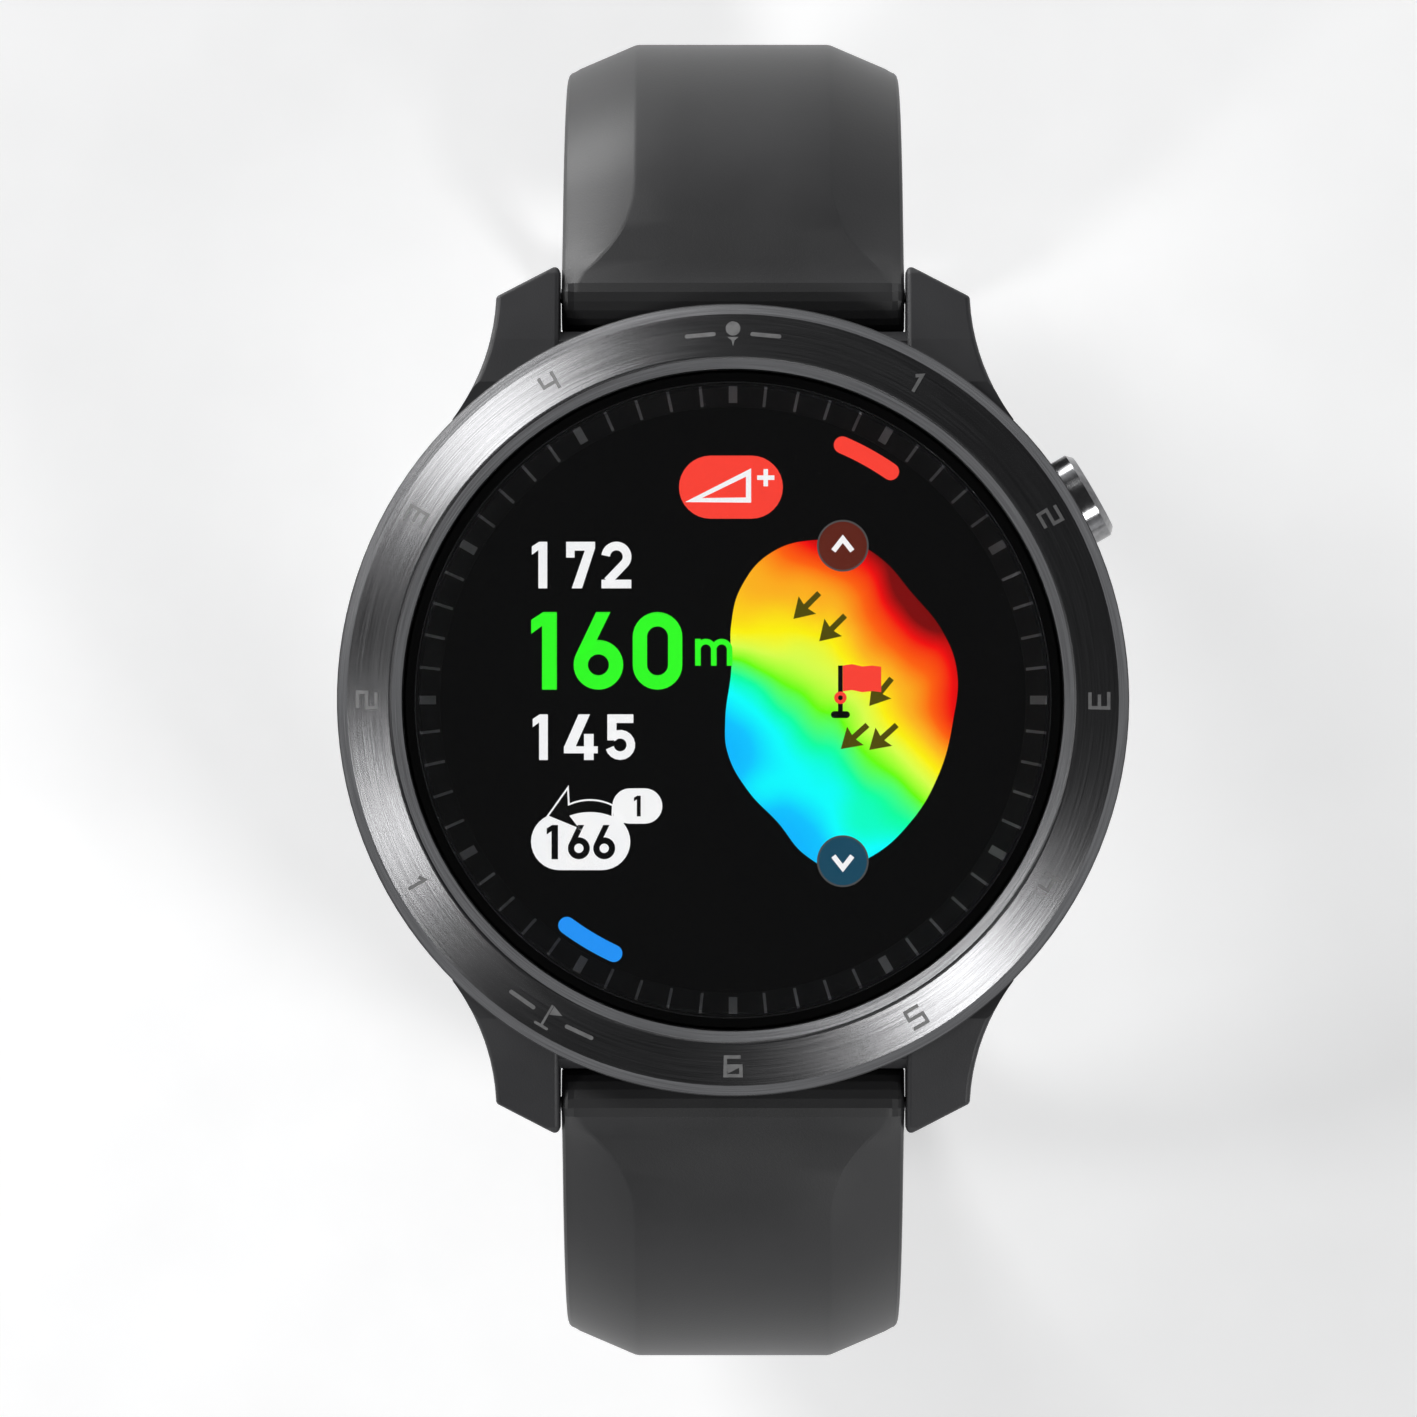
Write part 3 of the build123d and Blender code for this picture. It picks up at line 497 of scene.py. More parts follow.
# ---------------------------------------------------------------- legends on the bezel
LEGEND_R = 21.2 * MM
LEGEND_RISE, LEGEND_SINK = 0.012 * MM, 0.03 * MM
LEGEND_PLATE = 0.04 * MM
LEGEND_WIDE, LEGEND_HIGH, LEGEND_LINE = 0.9, 1.3, 0.2  # a digit's size and its line's width, in millimetres
FACE_INNER, FACE_OUTER = 19.95 * MM, 22.35 * MM
FACE_TOP, FACE_BOTTOM = BEZEL_TOP - 0.05 * MM, BEZEL_TOP - 1.05 * MM
HOUR_DIGITS = {1: "1", 2: "2", 3: "3", 4: "4", 5: "5", 6: "6", 8: "1", 9: "2", 10: "3", 11: "4"}
TURNED_HOURS = range(4, 9)  # from 4 to 8
STROKES = {  # each digit's lines, as parts of its width and height
    "1": [[(0.25, 0.8), (0.6, 1), (0.6, 0)]],
    "2": [[(0, 1), (1, 1), (1, 0.5), (0, 0.5), (0, 0), (1, 0)]],
    "3": [[(0, 1), (1, 1), (1, 0), (0, 0)], [(0.15, 0.5), (0.89, 0.5)]],
    "4": [[(0, 1), (0, 0.42), (0.79, 0.42)], [(0.9, 1), (0.9, 0)]],
    "5": [[(1, 1), (0, 1), (0, 0.52), (1, 0.52), (1, 0), (0, 0)]],
    "6": [[(1, 1), (0, 1), (0, 0), (1, 0), (1, 0.52), (0.11, 0.52)]],
}


def bezel_height(radius):
    """How high the bezel's sloping face is at a radius."""
    return FACE_TOP + (radius - FACE_INNER) * (FACE_BOTTOM - FACE_TOP) / (FACE_OUTER - FACE_INNER)


def lay_on_bezel(piece, clock, upright):
    """Turns a flat plate drawn about the origin onto the bezel's cone, at an hour."""
    angle = -clock * pi / 6
    flip = 1 if upright else -1
    for vertex in piece.data.vertices:
        x, y, z = vertex.co
        radius = LEGEND_R + flip * y
        turn = angle - flip * x / LEGEND_R
        lifted = bezel_height(radius) + (LEGEND_RISE if z > 0 else -LEGEND_SINK)
        vertex.co = (-radius * sin(turn), radius * cos(turn), lifted)


def legend_plate(outline):
    """A thin plate about the origin, from its outline in millimetres."""
    return flat_shape("plate", [scaled(outline)], LEGEND_PLATE, -LEGEND_PLATE / 2)


def make_digit(name, digit):
    """A digit of straight lines, one plate for each."""
    plates = []
    for stroke in STROKES[digit]:
        placed = [((x - 0.5) * LEGEND_WIDE, (y - 0.5) * (LEGEND_HIGH - LEGEND_LINE)) for x, y in stroke]
        plates.append(legend_plate(thick_line(placed, LEGEND_LINE)))
    return join_pieces(name, plates)


def side_bars():
    """The short bars on both sides of a sign."""
    return [legend_plate(capsule((side * 1.9, 0), 1.8, 0.24)) for side in (-1, 1)]


def make_tee_sign():
    """A ball on its tee, between two short bars."""
    ball = legend_plate(arc_points((0, 0.3), 0.42, 0, 345, 23))
    tee = legend_plate([(-0.32, -0.2), (0.32, -0.2), (0.09, -0.4), (0.0, -0.75), (-0.09, -0.4)])
    return join_pieces("bezel_legend_tee", [ball, tee] + side_bars())


def make_flag_sign():
    """A flag in its hole, between two short bars."""
    pole = legend_plate(thick_line([(-0.2, 0.7), (-0.2, -0.6)], 0.14))
    flag = legend_plate([(-0.1, 0.7), (0.6, 0.42), (-0.1, 0.12)])
    hole = legend_plate(capsule((-0.2, -0.68), 0.9, 0.16))
    return join_pieces("bezel_legend_flag", [pole, flag, hole] + side_bars())


def make_legends():
    """The numbers and signs round the bezel; the lower ones are turned to stand upright below the dial."""
    marks = {clock: make_digit(f"bezel_legend_{clock}", digit) for clock, digit in HOUR_DIGITS.items()}
    marks[12] = make_tee_sign()
    marks[7] = make_flag_sign()
    for clock, mark in marks.items():
        lay_on_bezel(mark, clock, upright=clock not in TURNED_HOURS)
        finish_piece(mark, "case", LEGEND)


# ---------------------------------------------------------------- what the display shows
# Everything on the display is drawn in millimetres from the dial's centre.
LAYER = 0.02 * MM
WHITE_LIGHT = glowing("light_white", (0.95, 0.95, 0.95), 1.0)
RED_LIGHT = glowing("light_red", (1.0, 0.055, 0.035), 1.0)
BLUE_LIGHT = glowing("light_blue", (0.015, 0.3, 0.95), 1.0)
GREEN_LIGHT = glowing("light_green", (0.03, 1.0, 0.017), 1.0)
GREY_LIGHT = glowing("light_grey", (0.12, 0.12, 0.12), 0.6)
OLIVE_LIGHT = glowing("light_olive", (0.1, 0.085, 0.0), 0.8)
BLACK_INK = glowing("dark_pixels", (0.002, 0.002, 0.002), 0.0)
DIM_RED = glowing("light_dim_red", (0.14, 0.02, 0.01), 0.8)
DIM_BLUE = glowing("light_dim_blue", (0.01, 0.08, 0.14), 0.8)


def screen_plate(name, outlines, layer, curved=False):
    """A thin plate on the display; a higher layer covers a lower one."""
    return flat_shape(name, [scaled(o) for o in outlines], LAYER, SCREEN_Z + layer * LAYER, curved)


def on_screen(name, outlines, material, layer, curved=False):
    """A lit shape on the display."""
    finish_piece(screen_plate(name, outlines, layer, curved), "case", material)


BOWL_R, PEN = 0.32, 0.185  # a digit's bowls and its line's width, as parts of its height
LOWER_BOWL, UPPER_BOWL = (BOWL_R, BOWL_R), (BOWL_R, 1 - BOWL_R)
GLYPHS = {  # the outlines of each character's parts, as parts of its height
    "0": [[
        arc_points(LOWER_BOWL, radius, 180, 360) + arc_points(UPPER_BOWL, radius, 0, 180)
        for radius in (BOWL_R, BOWL_R - PEN)
    ]],
    "1": [[[(0.33, 1), (0.33, 0), (0.14, 0), (0.14, 0.82), (0, 0.72), (0, 0.9), (0.155, 1)]]],
    "2": [
        [thick_line(arc_points(UPPER_BOWL, 0.23, 175, -35) + [(0.13, 0.15)], PEN)],
        [[(0, 0), (0.64, 0), (0.64, PEN), (0, PEN)]],
    ],
    "4": [
        [[(0.32, 1), (0.57, 1), (0.25, 0.28), (0, 0.28)]],
        [[(0, 0.146), (0.74, 0.146), (0.74, 0.3), (0, 0.3)]],
        [[(0.44, 0), (0.65, 0), (0.65, 0.57), (0.44, 0.57)]],
    ],
    "5": [
        [[(0.03, 0.81), (0.6, 0.81), (0.6, 1), (0.03, 1)]],
        [[(0.03, 0.43), (0.23, 0.43), (0.23, 0.9), (0.03, 0.9)]],
        [thick_line(arc_points((0.31, 0.33), 0.235, 140, -165), PEN)],
    ],
    "6": [
        [arc_points(LOWER_BOWL, radius, 0, 350, 35) for radius in (BOWL_R, BOWL_R - PEN)],
        [[(0.29, 1), (0.475, 1), (0.27, 0.58), (0.2, 0.5), (0.03, 0.455)]],
    ],
    "7": [[[
        (0.62, 1), (0.62, 0.86), (0.34, 0), (0.12, 0), (0.4, 0.81),
        (0.18, 0.81), (0.18, 0.66), (0, 0.66), (0, 1),
    ]]],
    "m": [
        [[(0, 0), (0.21, 0), (0.21, 1), (0, 1)]],
        [thick_line(arc_points((0.4, 0.6), 0.295, 160, 0) + [(0.695, 0)], 0.21)],
        [thick_line(arc_points((0.99, 0.6), 0.295, 160, 0) + [(1.285, 0)], 0.21)],
    ],
}


def screen_text(name, words, height, bottom, starts, material, layer):
    """Characters on the display, each from its own left edge."""
    plates = []
    for character, start in zip(words, starts):
        for part in GLYPHS[character]:
            placed = [[(start + x * height, bottom + y * height) for x, y in loop] for loop in part]
            plates.append(screen_plate(name, placed, layer))
    finish_piece(join_pieces(name, plates), "case", material)


def arc_capsule(radius, start, end, width):
    """A bar bent round the dial, with round ends."""
    tips = []
    for angle, turn in ((end, 0), (start, 180)):
        centre = (radius * cos(radians(angle)), radius * sin(radians(angle)))
        tips.append(arc_points(centre, width / 2, angle + turn, angle + turn + 180, 10))
    outer = arc_points((0, 0), radius + width / 2, start, end, 12)
    inner = arc_points((0, 0), radius - width / 2, end, start, 12)
    return outer[:-1] + tips[0] + inner[1:-1] + tips[1]


# An arrow head's length, how far its barbs reach back past its neck, and half the head's and shaft's widths.
ARROW_HEAD, ARROW_BARB, ARROW_WING, ARROW_SHAFT = 1.15, 0.12, 0.72, 0.17


def slope_arrow(tip, tail):
    """An arrow that shows which way the green falls."""
    tip, tail = Vector(tip), Vector(tail)
    lead = (tip - tail).normalized()
    side = Vector((-lead.y, lead.x))
    barb = tip - lead * ARROW_HEAD
    neck = barb + lead * ARROW_BARB
    wing, shaft = side * ARROW_WING, side * ARROW_SHAFT
    corners = [tip, barb + wing, neck + shaft, tail + shaft, tail - shaft, neck - shaft, barb - wing]
    return [tuple(c) for c in corners]


GREEN_OUTLINE = [
    (5.0, 9.3), (2.3, 8.6), (0.5, 6.6), (-0.1, 4.4), (-0.1, 1.8), (-0.45, -1.2), (-0.3, -3.1), (0.9, -5.3),
    (2.6, -7.1), (4.2, -9.0), (6.0, -9.8), (8.0, -9.1), (10.2, -7.2), (11.9, -4.4), (12.8, -1.0),
    (13.0, 1.6), (12.2, 3.9), (10.3, 6.3), (8.6, 8.2), (7.0, 9.1),
]
HILLS = [  # centre, reach and height of each rise on the green
    ((-0.4, 4.9), 2.2, 0.16), ((13.2, -1.5), 2.4, 0.22), ((10.6, 5.4), 2.0, 0.09), ((1.3, -5.4), 1.3, 0.13),
    ((5.0, 9.6), 1.6, 0.06), ((-0.8, -2.0), 2.0, -0.09), ((6.5, -9.0), 3.0, 0.08),
]
SLOPE_RIGHT, SLOPE_UP = 0.034, 0.043  # rise for each millimetre
SLOPE_LEVEL = 0.345
FALLOFF_BASE = 2.718
WAVE_SCALE, WAVE_RISE = 230, 0.16
SLOPE_COLOURS = [  # height and colour
    (0.0, (0.0, 0.35, 1.0)), (0.22, (0.0, 0.55, 1.0)), (0.33, (0.0, 1.0, 1.0)), (0.42, (0.0, 1.0, 0.35)),
    (0.5, (0.13, 1.0, 0.0)), (0.58, (0.7, 1.0, 0.07)), (0.66, (1.0, 0.9, 0.0)), (0.76, (1.0, 0.45, 0.01)),
    (0.86, (1.0, 0.12, 0.0)), (0.94, (0.9, 0.0, 0.0)), (1.0, (0.2, 0.0, 0.0)),
]


def make_slope_material():
    """The green's heights as colours: a slope to the upper right, with a few hills."""
    material, tree, shader = new_material("light_slope_map")
    coordinates = add_node(tree, "ShaderNodeTexCoord")
    split = add_node(tree, "ShaderNodeSeparateXYZ")
    tree.links.new(coordinates.outputs["Object"], split.inputs["Vector"])
    right = math_node(tree, "MULTIPLY", split.outputs["X"], SLOPE_RIGHT / MM)
    up = math_node(tree, "MULTIPLY", split.outputs["Y"], SLOPE_UP / MM)
    height = math_node(tree, "ADD", math_node(tree, "ADD", right, up), SLOPE_LEVEL)
    for (x, y), reach, rise in HILLS:
        offset = add_node(tree, "ShaderNodeVectorMath", operation="DISTANCE")
        tree.links.new(coordinates.outputs["Object"], offset.inputs[0])
        offset.inputs[1].default_value = (x * MM, y * MM, SCREEN_Z)
        ratio = math_node(tree, "DIVIDE", offset.outputs["Value"], reach * MM)
        power = math_node(tree, "MULTIPLY", math_node(tree, "MULTIPLY", ratio, ratio), -0.5)
        hill = math_node(tree, "MULTIPLY", math_node(tree, "POWER", FALLOFF_BASE, power), rise)
        height = math_node(tree, "ADD", height, hill)
    waves = math_node(tree, "SUBTRACT", noise(tree, WAVE_SCALE, detail=1).outputs["Fac"], 0.5)
    height = math_node(tree, "ADD", height, math_node(tree, "MULTIPLY", waves, WAVE_RISE))
    ramp = add_node(tree, "ShaderNodeValToRGB")
    elements = ramp.color_ramp.elements
    for element, (position, colour) in zip(elements, (SLOPE_COLOURS[0], SLOPE_COLOURS[-1])):
        element.position = position
        element.color = (*colour, 1)
    for position, colour in SLOPE_COLOURS[1:-1]:
        elements.new(position).color = (*colour, 1)
    tree.links.new(height, ramp.inputs["Fac"])
    tree.links.new(darkened(tree, ramp.outputs["Color"]), shader.inputs["Base Color"])
    tree.links.new(ramp.outputs["Color"], shader.inputs["Emission Color"])
    shader.inputs["Emission Strength"].default_value = 1.0
    shader.inputs["Specular IOR Level"].default_value = 0.1
    return material


SLOPE_ARROWS = [  # the tip and tail of each
    ((3.5, 4.7), (5.0, 6.2)), ((5.0, 3.4), (6.5, 4.9)), ((7.9, -0.35), (9.2, 1.25)),
    ((6.25, -2.85), (7.8, -1.45)), ((7.9, -2.9), (9.5, -1.45)),
]
MARKERS = [  # name, centre, colour, and 1 for a sign that points up or -1 for down
    ("back", (6.37, 8.95), DIM_RED, 1), ("front", (6.37, -9.35), DIM_BLUE, -1),
]
POLE_X = 6.23
FLAG = [
    (6.37, 2.0), (6.9, 2.08), (7.5, 1.95), (8.1, 2.0), (8.6, 1.93),
    (8.6, 0.45), (8.1, 0.52), (7.5, 0.45), (6.9, 0.58), (6.37, 0.5),
]


def disc_outline(centre, radius, steps):
    """A round outline of many short sides."""
    return arc_points(centre, radius, 0, 355, steps)


def make_green_map():
    """The green with its slope arrows, its front and back markers and its flag."""
    on_screen("screen_green", [GREEN_OUTLINE], make_slope_material(), 0, curved=True)
    for i, (tip, tail) in enumerate(SLOPE_ARROWS):
        on_screen(f"screen_arrow_{i + 1}", [slope_arrow(tip, tail)], OLIVE_LIGHT, 1)
    for name, (x, y), colour, point in MARKERS:
        on_screen(f"screen_{name}_disc", [disc_outline((x, y), 1.42, 71)], colour, 2)
        rim = [disc_outline((x, y), radius, 71) for radius in (1.5, 1.4)]
        on_screen(f"screen_{name}_rim", rim, GREY_LIGHT, 3)
        foot, peak = y - 0.3 * point, y + 0.4 * point
        chevron = thick_line([(x - 0.55, foot), (x, peak), (x + 0.55, foot)], 0.3)
        on_screen(f"screen_{name}_sign", [chevron], WHITE_LIGHT, 3)
    on_screen("screen_pole", [thick_line([(POLE_X, 2.0), (POLE_X, -0.9)], 0.27)], BLACK_INK, 2)
    on_screen("screen_pole_foot", [capsule((POLE_X, -0.85), 1.1, 0.4)], BLACK_INK, 2)
    on_screen("screen_flag", [FLAG], RED_LIGHT, 3)
    ring = [disc_outline((POLE_X, 0.13), radius, 35) for radius in (0.36, 0.14)]
    on_screen("screen_pole_ring", ring, RED_LIGHT, 3)


def make_distances():
    """The distances to the green's back, middle and front, each with its height, foot and left edges."""
    screen_text("screen_far", "172", 2.7, 6.48, (-11.67, -9.68, -7.63), WHITE_LIGHT, 0)
    screen_text("screen_middle", "160", 4.5, 0.6, (-11.71, -9.25, -5.82), GREEN_LIGHT, 0)
    screen_text("screen_unit", "m", 1.56, 1.99, (-2.2,), GREEN_LIGHT, 3)
    screen_text("screen_near", "145", 2.65, -3.48, (-11.62, -9.81, -7.37), WHITE_LIGHT, 0)


def make_badges():
    """The red badge with its slope sign, and the two bars by the ticks."""
    on_screen("screen_badge", [capsule((-0.12, 12.35), 6.03, 3.66)], RED_LIGHT, 0)
    slope = thick_line([(-2.3, 11.6), (0.9, 11.6), (0.9, 13.2)], 0.3, closed=True)
    on_screen("screen_badge_slope", slope, WHITE_LIGHT, 1)
    on_screen("screen_badge_plus", [thick_line([(1.4, 12.9), (2.4, 12.9)], 0.26)], WHITE_LIGHT, 1)
    on_screen("screen_badge_plus_up", [thick_line([(1.9, 12.4), (1.9, 13.4)], 0.26)], WHITE_LIGHT, 1)
    on_screen("screen_bar_red", [arc_capsule(16.1, 55.4, 66.8, 1.0)], RED_LIGHT, 0)
    on_screen("screen_bar_blue", [arc_capsule(16.25, 233.6, 244.8, 1.0)], BLUE_LIGHT, 0)


def make_advice():
    """The bubble that says how far the next shot plays, under a curved arrow."""
    on_screen("screen_advice", [capsule((-8.84, -8.22), 5.76, 3.3)], WHITE_LIGHT, 0)
    screen_text("screen_advice_number", "166", 1.99, -9.24, (-10.81, -9.58, -8.11), BLACK_INK, 1)
    sweep_out = arc_points((-8.3, -8.75), 2.9, 116, 64, 14)
    sweep_back = arc_points((-8.3, -10.0), 3.5, 69, 110, 14)
    head = [(-8.93, -7.44), (-10.68, -6.72), (-9.62, -5.23)]
    arrow = sweep_out + sweep_back + head
    on_screen("screen_advice_rim", thick_line(arrow, 0.2, closed=True), WHITE_LIGHT, 1)
    on_screen("screen_advice_arrow", [arrow], BLACK_INK, 2)
    on_screen("screen_bubble", [capsule((-5.55, -6.15), 2.9, 2.05)], WHITE_LIGHT, 3)
    on_screen("screen_bubble_tail", [[(-6.95, -6.3), (-6.88, -7.5), (-6.1, -7.0)]], WHITE_LIGHT, 3)
    screen_text("screen_bubble_number", "1", 1.2, -6.75, (-5.75,), BLACK_INK, 4)


# ---------------------------------------------------------------- straps
STRAP_HALF, STRAP_MID_HALF, STRAP_END_HALF = 10.0 * MM, 9.8 * MM, 9.0 * MM
TAPER_MID_Z, TAPER_END_Z = -14 * MM, -28 * MM
STRAP_OUT, STRAP_IN = 1.9 * MM, 1.5 * MM
STRAP_EDGE = 0.45 * MM
CREASE_BEVEL = 0.12 * MM
CREASE_ROOM, FACET_ROOM = 2.2, 1.6  # from the strap's side to its crease and its facet's end, in edges
THIN = 0.02 * MM  # the least thickness of a section
BARREL_R, BARREL_BACK = 2.1 * MM, 0.05 * MM  # round the spring bar, and at its far side
END_LOOP_R, END_LOOP_LIFT = 1.7 * MM, 0.2 * MM  # round the buckle's bar
TIP_BLUNT = 0.0004  # the least square of the rounded tip's width, as a part of the strap's
STATION_PITCH = 0.8 * MM
CREASE = 5.75 * MM
FACET_SLOPE = tan(radians(23.2))
CREASE_START = 6.29 * MM  # nearer the spring bar than this the facets run out of the strap
CREASE_STOP = 9.0 * MM  # and nearer the buckle's bar than this
RUN_OUT_R = 12.0 * MM
LEAN = radians(-20)
# Each step of a strap is (length in millimetres, turn in degrees), from the spring bar on.
LEAVE_CASE = [(3.5, 0), (16.0 * radians(70), 70)]
BUCKLE_RUN = LEAVE_CASE + [(42.0 * radians(22), 22), (25.0, 0)]
HOLE_RUN = LEAVE_CASE + [(99.8 * radians(22), 22), (20.0 * radians(68), 68), (31.0, 0)]
HOLE_COUNT, HOLE_PITCH, FIRST_HOLE = 9, 6.5 * MM, 12.0 * MM
HOLE_HALF_WIDE, HOLE_HALF_LONG, HOLE_CUT = 1.5 * MM, 1.2 * MM, 8 * MM
BORE_R, BORE_LONG = 0.8 * MM, 30 * MM
HEEL_HALF = STRAP_HALF - 0.02 * MM
HEEL_PROFILE = [  # (y, z) in millimetres
    (21.5, 4.6), (21.5, 3.05), (21.65, 2.72), (21.98, 2.6), (25.6, 2.6), (25.9, 4.0), (24.5, 4.9),
]
SLOT_X, SLOT_LONG, SLOT_WIDE, SLOT_CUT = 6.6 * MM, 3.2 * MM, 1.7 * MM, 5 * MM
SLOT_DEPTH = 2.5 * MM  # from the spring bar's centre to the slot plug's middle
NOTCH_LONG, NOTCH_WIDE, NOTCH_CUT = 6.4 * MM, 2.9 * MM, 9 * MM
SHARP_ANGLE = radians(13)


def strap_place(run, distance):
    """Where a strap's centre line is, as (y, z) and its heading, before the spring bar too."""
    y, z, heading = HINGE_Y, HINGE_Z, LEAN
    left = distance
    for i, (length, turn) in enumerate(run):
        length *= MM
        last = i == len(run) - 1
        step = left if last else min(left, length)
        if turn and step > 0:
            radius = length / radians(turn)
            end = heading - step / radius
            y += radius * (sin(heading) - sin(end))
            z += radius * (cos(end) - cos(heading))
            heading = end
        else:
            y += step * cos(heading)
            z += step * sin(heading)
        left -= step
        if left <= 0:
            break
    return y, z, heading


def strap_half(z):
    """Half the strap's width at a height."""
    if z > TAPER_MID_Z:
        share = min((HINGE_Z - z) / (HINGE_Z - TAPER_MID_Z), 1)
        return STRAP_HALF + (STRAP_MID_HALF - STRAP_HALF) * max(share, 0)
    share = min((TAPER_MID_Z - z) / (TAPER_MID_Z - TAPER_END_Z), 1)
    return STRAP_MID_HALF + (STRAP_END_HALF - STRAP_MID_HALF) * share


def run_length(run):
    """A strap's length from the spring bar to its last step's end."""
    return sum(length for length, turn in run) * MM


def strap_section(half, crease, out, inner):
    """One ring of points round the strap, as (x, outward), starting in the middle of its top."""
    edge = min(STRAP_EDGE, (out + inner) / 3, half / 4)
    side_top = out - max(half - crease, 0) * FACET_SLOPE
    crease = min(crease, half - CREASE_ROOM * edge)
    slope = (out - side_top) / (half - crease)
    bevel = min(CREASE_BEVEL, crease / 4, edge / 2)
    facet_end = half - FACET_ROOM * edge
    right = [(0, out), (crease * 0.5, out), (crease - bevel, out), (crease + bevel, out - bevel * slope)]
    right.append((facet_end, out - (facet_end - crease) * slope))
    for angles, middle in (((80, 55, 30, 5), side_top - edge * 0.75), ((-5, -35, -60, -85), edge - inner)):
        for angle in angles:
            right.append((half - edge + edge * cos(radians(angle)), middle + edge * sin(radians(angle))))
    right += [(half * 0.5, -inner), (0, -inner)]
    left = [(-x, z) for x, z in right[-2:0:-1]]
    return right + left


def strap_stations(length, round_tip):
    """The distances along a strap at which its sections stand."""
    barrel = [-BARREL_R * cos(radians(a)) for a in (2, 15, 30, 45, 60, 75)]
    count = int(length / STATION_PITCH)
    middle = [length * i / count for i in range(count + 1)]
    if round_tip:
        start = length - STRAP_END_HALF
        tip = [start + STRAP_END_HALF * sin(radians(a)) for a in range(0, 89, 4)]
        return barrel + [s for s in middle if s < start] + tip
    return barrel + middle + [length + END_LOOP_R * sin(radians(a)) for a in (15, 30, 45, 60, 75, 87)]


def strap_ring(length, s, z, round_tip):
    """A strap's section at a distance along it, with the barrel, the crease's ends and the tip."""
    half = strap_half(z)
    barrel = sqrt(max(BARREL_R**2 - s**2, 0)) if s < BARREL_R else 0
    out = max(barrel, STRAP_OUT if s >= 0 else BARREL_BACK)
    inner = max(barrel, STRAP_IN if s >= 0 else BARREL_BACK)
    run_out = max(CREASE_START - s, 0 if round_tip else s - length + CREASE_STOP, 0)
    crease = CREASE + RUN_OUT_R * (1 - cos(run_out / RUN_OUT_R)) / FACET_SLOPE
    if round_tip and s > length - STRAP_END_HALF:
        along = (s - length + STRAP_END_HALF) / STRAP_END_HALF
        half *= sqrt(max(1 - along**2, TIP_BLUNT))
        crease = min(crease, half * 0.75)
    elif not round_tip and s > length:
        reach = sqrt(max(END_LOOP_R**2 - (s - length) ** 2, 0))
        out, inner = reach + END_LOOP_LIFT, reach - END_LOOP_LIFT
        inner = max(inner, THIN - out)
    return strap_section(half, crease, out, inner)


def strap_mesh(name, run, round_tip):
    """A strap half on the +Y side, lofted along its run."""
    length = run_length(run)
    stations = strap_stations(length, round_tip)
    vertices = []
    for s in stations:
        y, z, heading = strap_place(run, s)
        normal = Vector((0, -sin(heading), cos(heading)))
        section = strap_ring(length, s, z, round_tip)
        vertices += [Vector((x, y, z)) + normal * lift for x, lift in section]
    ring = len(section)
    faces = []
    for i in range(len(stations) - 1):
        for j in range(ring):
            k = (j + 1) % ring
            faces.append((i * ring + j, (i + 1) * ring + j, (i + 1) * ring + k, i * ring + k))
    faces.append(tuple(range(ring)))
    faces.append(tuple(reversed(range((len(stations) - 1) * ring, len(stations) * ring))))
    return add_mesh(name, vertices, faces)


def turned(*directions):
    """The rotation that lays a plate's X, Y and Z along three directions."""
    return Matrix(directions).transposed().to_4x4()


ALONG_BAR = turned((0, 1, 0), (0, 0, 1), (1, 0, 0))


def across_strap(heading):
    """The rotation that lays a plate on a strap with a heading."""
    return turned((1, 0, 0), (0, cos(heading), sin(heading)), (0, -sin(heading), cos(heading)))


def cutter(outline, thickness, y, z, turn):
    """A plug that cuts a hole, from its outline in metres and the way that it is turned."""
    plug = flat_shape("plug", [outline], thickness, -thickness / 2)
    plug.data.transform(Matrix.Translation((0, y, z)) @ turn)
    return plug


def combine(piece, other, operation):
    """Joins another mesh to a piece or cuts it out, and removes the other."""
    modifier = piece.modifiers.new("combine", "BOOLEAN")
    modifier.operation = operation
    modifier.solver = "MANIFOLD"
    modifier.object = other
    bpy.context.view_layer.update()
    mesh = bpy.data.meshes.new_from_object(piece.evaluated_get(bpy.context.evaluated_depsgraph_get()))
    piece.modifiers.clear()
    turn_outwards(mesh)
    piece.data = mesh
    bpy.data.objects.remove(other)


def cut_away(piece, plugs):
    """Cuts the plugs out of a piece and shades it."""
    for plug in plugs:
        combine(piece, plug, "DIFFERENCE")
    piece.data.shade_smooth()
    piece.data.set_sharp_from_angle(angle=SHARP_ANGLE)


def bar_bore(y, z):
    """The bore for a spring bar or the buckle's bar."""
    return cutter(arc_points((0, 0), BORE_R, 0, 345, 23), BORE_LONG, y, z, ALONG_BAR)


def add_heel(strap):
    """Joins on the block under the spring bar that stops the strap against the case."""
    heel = flat_shape("heel", [scaled(HEEL_PROFILE)], 2 * HEEL_HALF, -HEEL_HALF)
    heel.data.transform(ALONG_BAR)
    combine(strap, heel, "UNION")


def lever_slot():
    """The gap on the skin side for the spring bar's release lever."""
    y = HINGE_Y + SLOT_DEPTH * sin(LEAN)
    z = HINGE_Z - SLOT_DEPTH * cos(LEAN)
    return cutter(capsule((SLOT_X, 0), SLOT_LONG, SLOT_WIDE), SLOT_CUT, y, z, across_strap(LEAN))


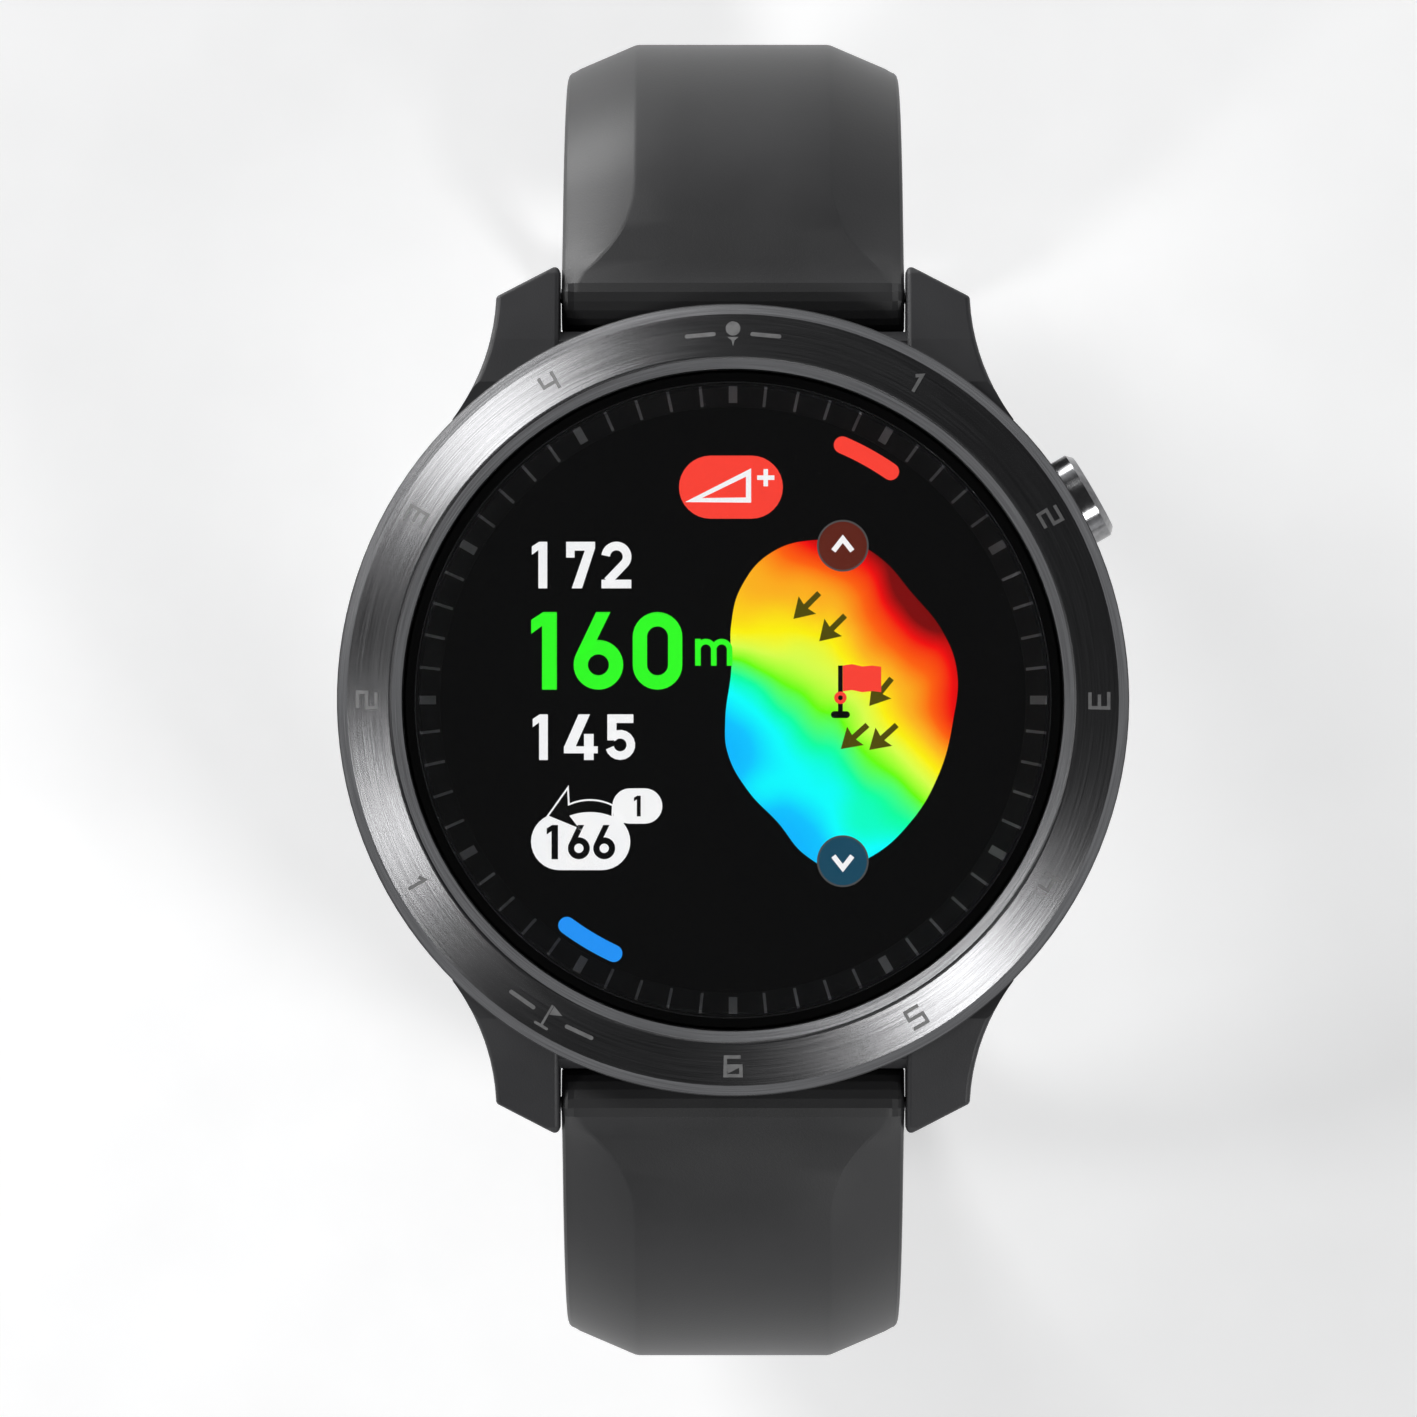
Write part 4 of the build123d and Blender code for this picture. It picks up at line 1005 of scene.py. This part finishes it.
def make_buckle_strap():
    """The strap half at 12 o'clock, notched at the buckle's bar for the tongue."""
    strap = strap_mesh("strap_12_soft", BUCKLE_RUN, round_tip=False)
    add_heel(strap)
    y, z, heading = strap_place(BUCKLE_RUN, run_length(BUCKLE_RUN))
    outline = [(v, u) for u, v in capsule((0, 0), NOTCH_LONG, NOTCH_WIDE)]
    notch = cutter(outline, NOTCH_CUT, y, z, across_strap(heading))
    cut_away(strap, [bar_bore(HINGE_Y, HINGE_Z), lever_slot(), bar_bore(y, z), notch])
    finish_piece(strap, "buckle_half", SILICONE)
    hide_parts("strap_12")


def make_hole_strap():
    """The strap half at 6 o'clock, made on the +Y side and then mirrored."""
    strap = strap_mesh("strap_6_soft", HOLE_RUN, round_tip=True)
    add_heel(strap)
    plugs = [bar_bore(HINGE_Y, HINGE_Z), lever_slot()]
    angles = [radians(a) for a in range(0, 360, 12)]
    oval = [(HOLE_HALF_WIDE * cos(a), HOLE_HALF_LONG * sin(a)) for a in angles]
    for i in range(HOLE_COUNT):
        y, z, heading = strap_place(HOLE_RUN, run_length(HOLE_RUN) - FIRST_HOLE - i * HOLE_PITCH)
        plugs.append(cutter(oval, HOLE_CUT, y, z, across_strap(heading)))
    cut_away(strap, plugs)
    strap.data.transform(Matrix.Scale(-1, 4, Vector((0, 1, 0))))
    strap.data.flip_normals()
    finish_piece(strap, "hole_half", SILICONE)
    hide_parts("strap_6")


def press_springs():
    """Gives the button's spring and each plunger's spring its own copy of its mesh."""
    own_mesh(NODES["button_spring"])
    for side in ("12", "6"):
        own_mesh(NODES[f"plunger_spring_{side}"])


# ---------------------------------------------------------------- light, floor and camera
CAMERA_UP = 0.6
VIEW_WIDE = 81.9 * MM
SHIFT_RIGHT, SHIFT_UP = -0.0173, -0.006  # parts of the view's width
NEAREST = 0.01
FLOOR_HALF = 3
FLOOR_GLOW = 0.3
WALL_LEVEL, OVERHEAD_LEVEL = 0.85, 0.07
WALL_END, OVERHEAD_START = 0.2, 0.55  # heights on the studio's dome, from 0 at eye level to 1 at its top
SOFT_BOXES = {  # hour of the dial, distance from the dial's axis, height, size across and up, and watts
    "upper_left": (10.6, 0.4, 0.42, (0.16, 0.14), 1.0),
    "lower_right": (4.7, 0.4, 0.42, (0.1, 0.14), 1.0),
    "lower_left": (8.3, 0.4, 0.42, (0.08, 0.12), 0.6),
    "left_wall": (10.7, 0.42, 0.0, (0.25, 0.1), 1.0),
}


def add_soft_box(name, clock, distance, height, size, power):
    """A soft box at an hour of the dial, facing the watch."""
    data = bpy.data.lights.new(name, "AREA")
    data.shape = "RECTANGLE"
    data.size, data.size_y = size
    data.energy = power
    angle = clock * pi / 6
    place = Vector((distance * sin(angle), distance * cos(angle), height))
    light = new_object(name, data)
    light.location = place
    light.rotation_euler = (-place).to_track_quat("-Z", "Y").to_euler()


def make_room():
    """A studio whose walls are pale low down and dark overhead."""
    world = bpy.data.worlds.new("studio")
    bpy.context.scene.world = world
    world.use_nodes = True
    tree = world.node_tree
    direction = add_node(tree, "ShaderNodeTexCoord")
    split = add_node(tree, "ShaderNodeSeparateXYZ")
    tree.links.new(direction.outputs["Generated"], split.inputs["Vector"])
    walls = add_node(tree, "ShaderNodeValToRGB")
    ends = ((WALL_END, WALL_LEVEL), (OVERHEAD_START, OVERHEAD_LEVEL))
    for element, (position, level) in zip(walls.color_ramp.elements, ends):
        element.position = position
        element.color = (level * 0.97, level * 0.98, level, 1)
    tree.links.new(split.outputs["Z"], walls.inputs["Fac"])
    tree.links.new(walls.outputs["Color"], tree.nodes["Background"].inputs["Color"])


def make_stage():
    """The pale paper floor under the watch, the room and its soft boxes."""
    bpy.context.scene.view_settings.view_transform = "Standard"
    corners = [(x * FLOOR_HALF, y * FLOOR_HALF, 0) for x, y in ((-1, -1), (1, -1), (1, 1), (-1, 1))]
    floor = add_mesh("floor", corners, [(0, 1, 2, 3)])
    floor.data.transform(Matrix.Translation((0, 0, PACKED_BOUNDS[0][2])))
    paper = moulded("paper", (0.88, 0.88, 0.88), (0.93, 0.93, 0.93), roughness=(0.8, 0.9), grain=500)
    floor.data.materials.append(paper)
    shader = paper.node_tree.nodes["Principled BSDF"]
    shader.inputs["Emission Color"].default_value = (1, 1, 1, 1)
    shader.inputs["Emission Strength"].default_value = FLOOR_GLOW
    make_room()
    for name, details in SOFT_BOXES.items():
        add_soft_box(name, *details)


def make_camera():
    """A camera straight above the dial, VIEW_WIDE across at the bezel's top."""
    data = bpy.data.cameras.new("camera")
    camera = new_object("camera", data)
    camera.location = (0, 0, BEZEL_TOP + CAMERA_UP)
    data.lens = data.sensor_width * CAMERA_UP / VIEW_WIDE
    data.shift_x = SHIFT_RIGHT
    data.shift_y = SHIFT_UP
    data.clip_start = NEAREST
    bpy.context.scene.camera = camera


make_ticks()
make_legends()
make_green_map()
make_distances()
make_badges()
make_advice()
make_buckle_strap()
make_hole_strap()
press_springs()
make_stage()
make_camera()
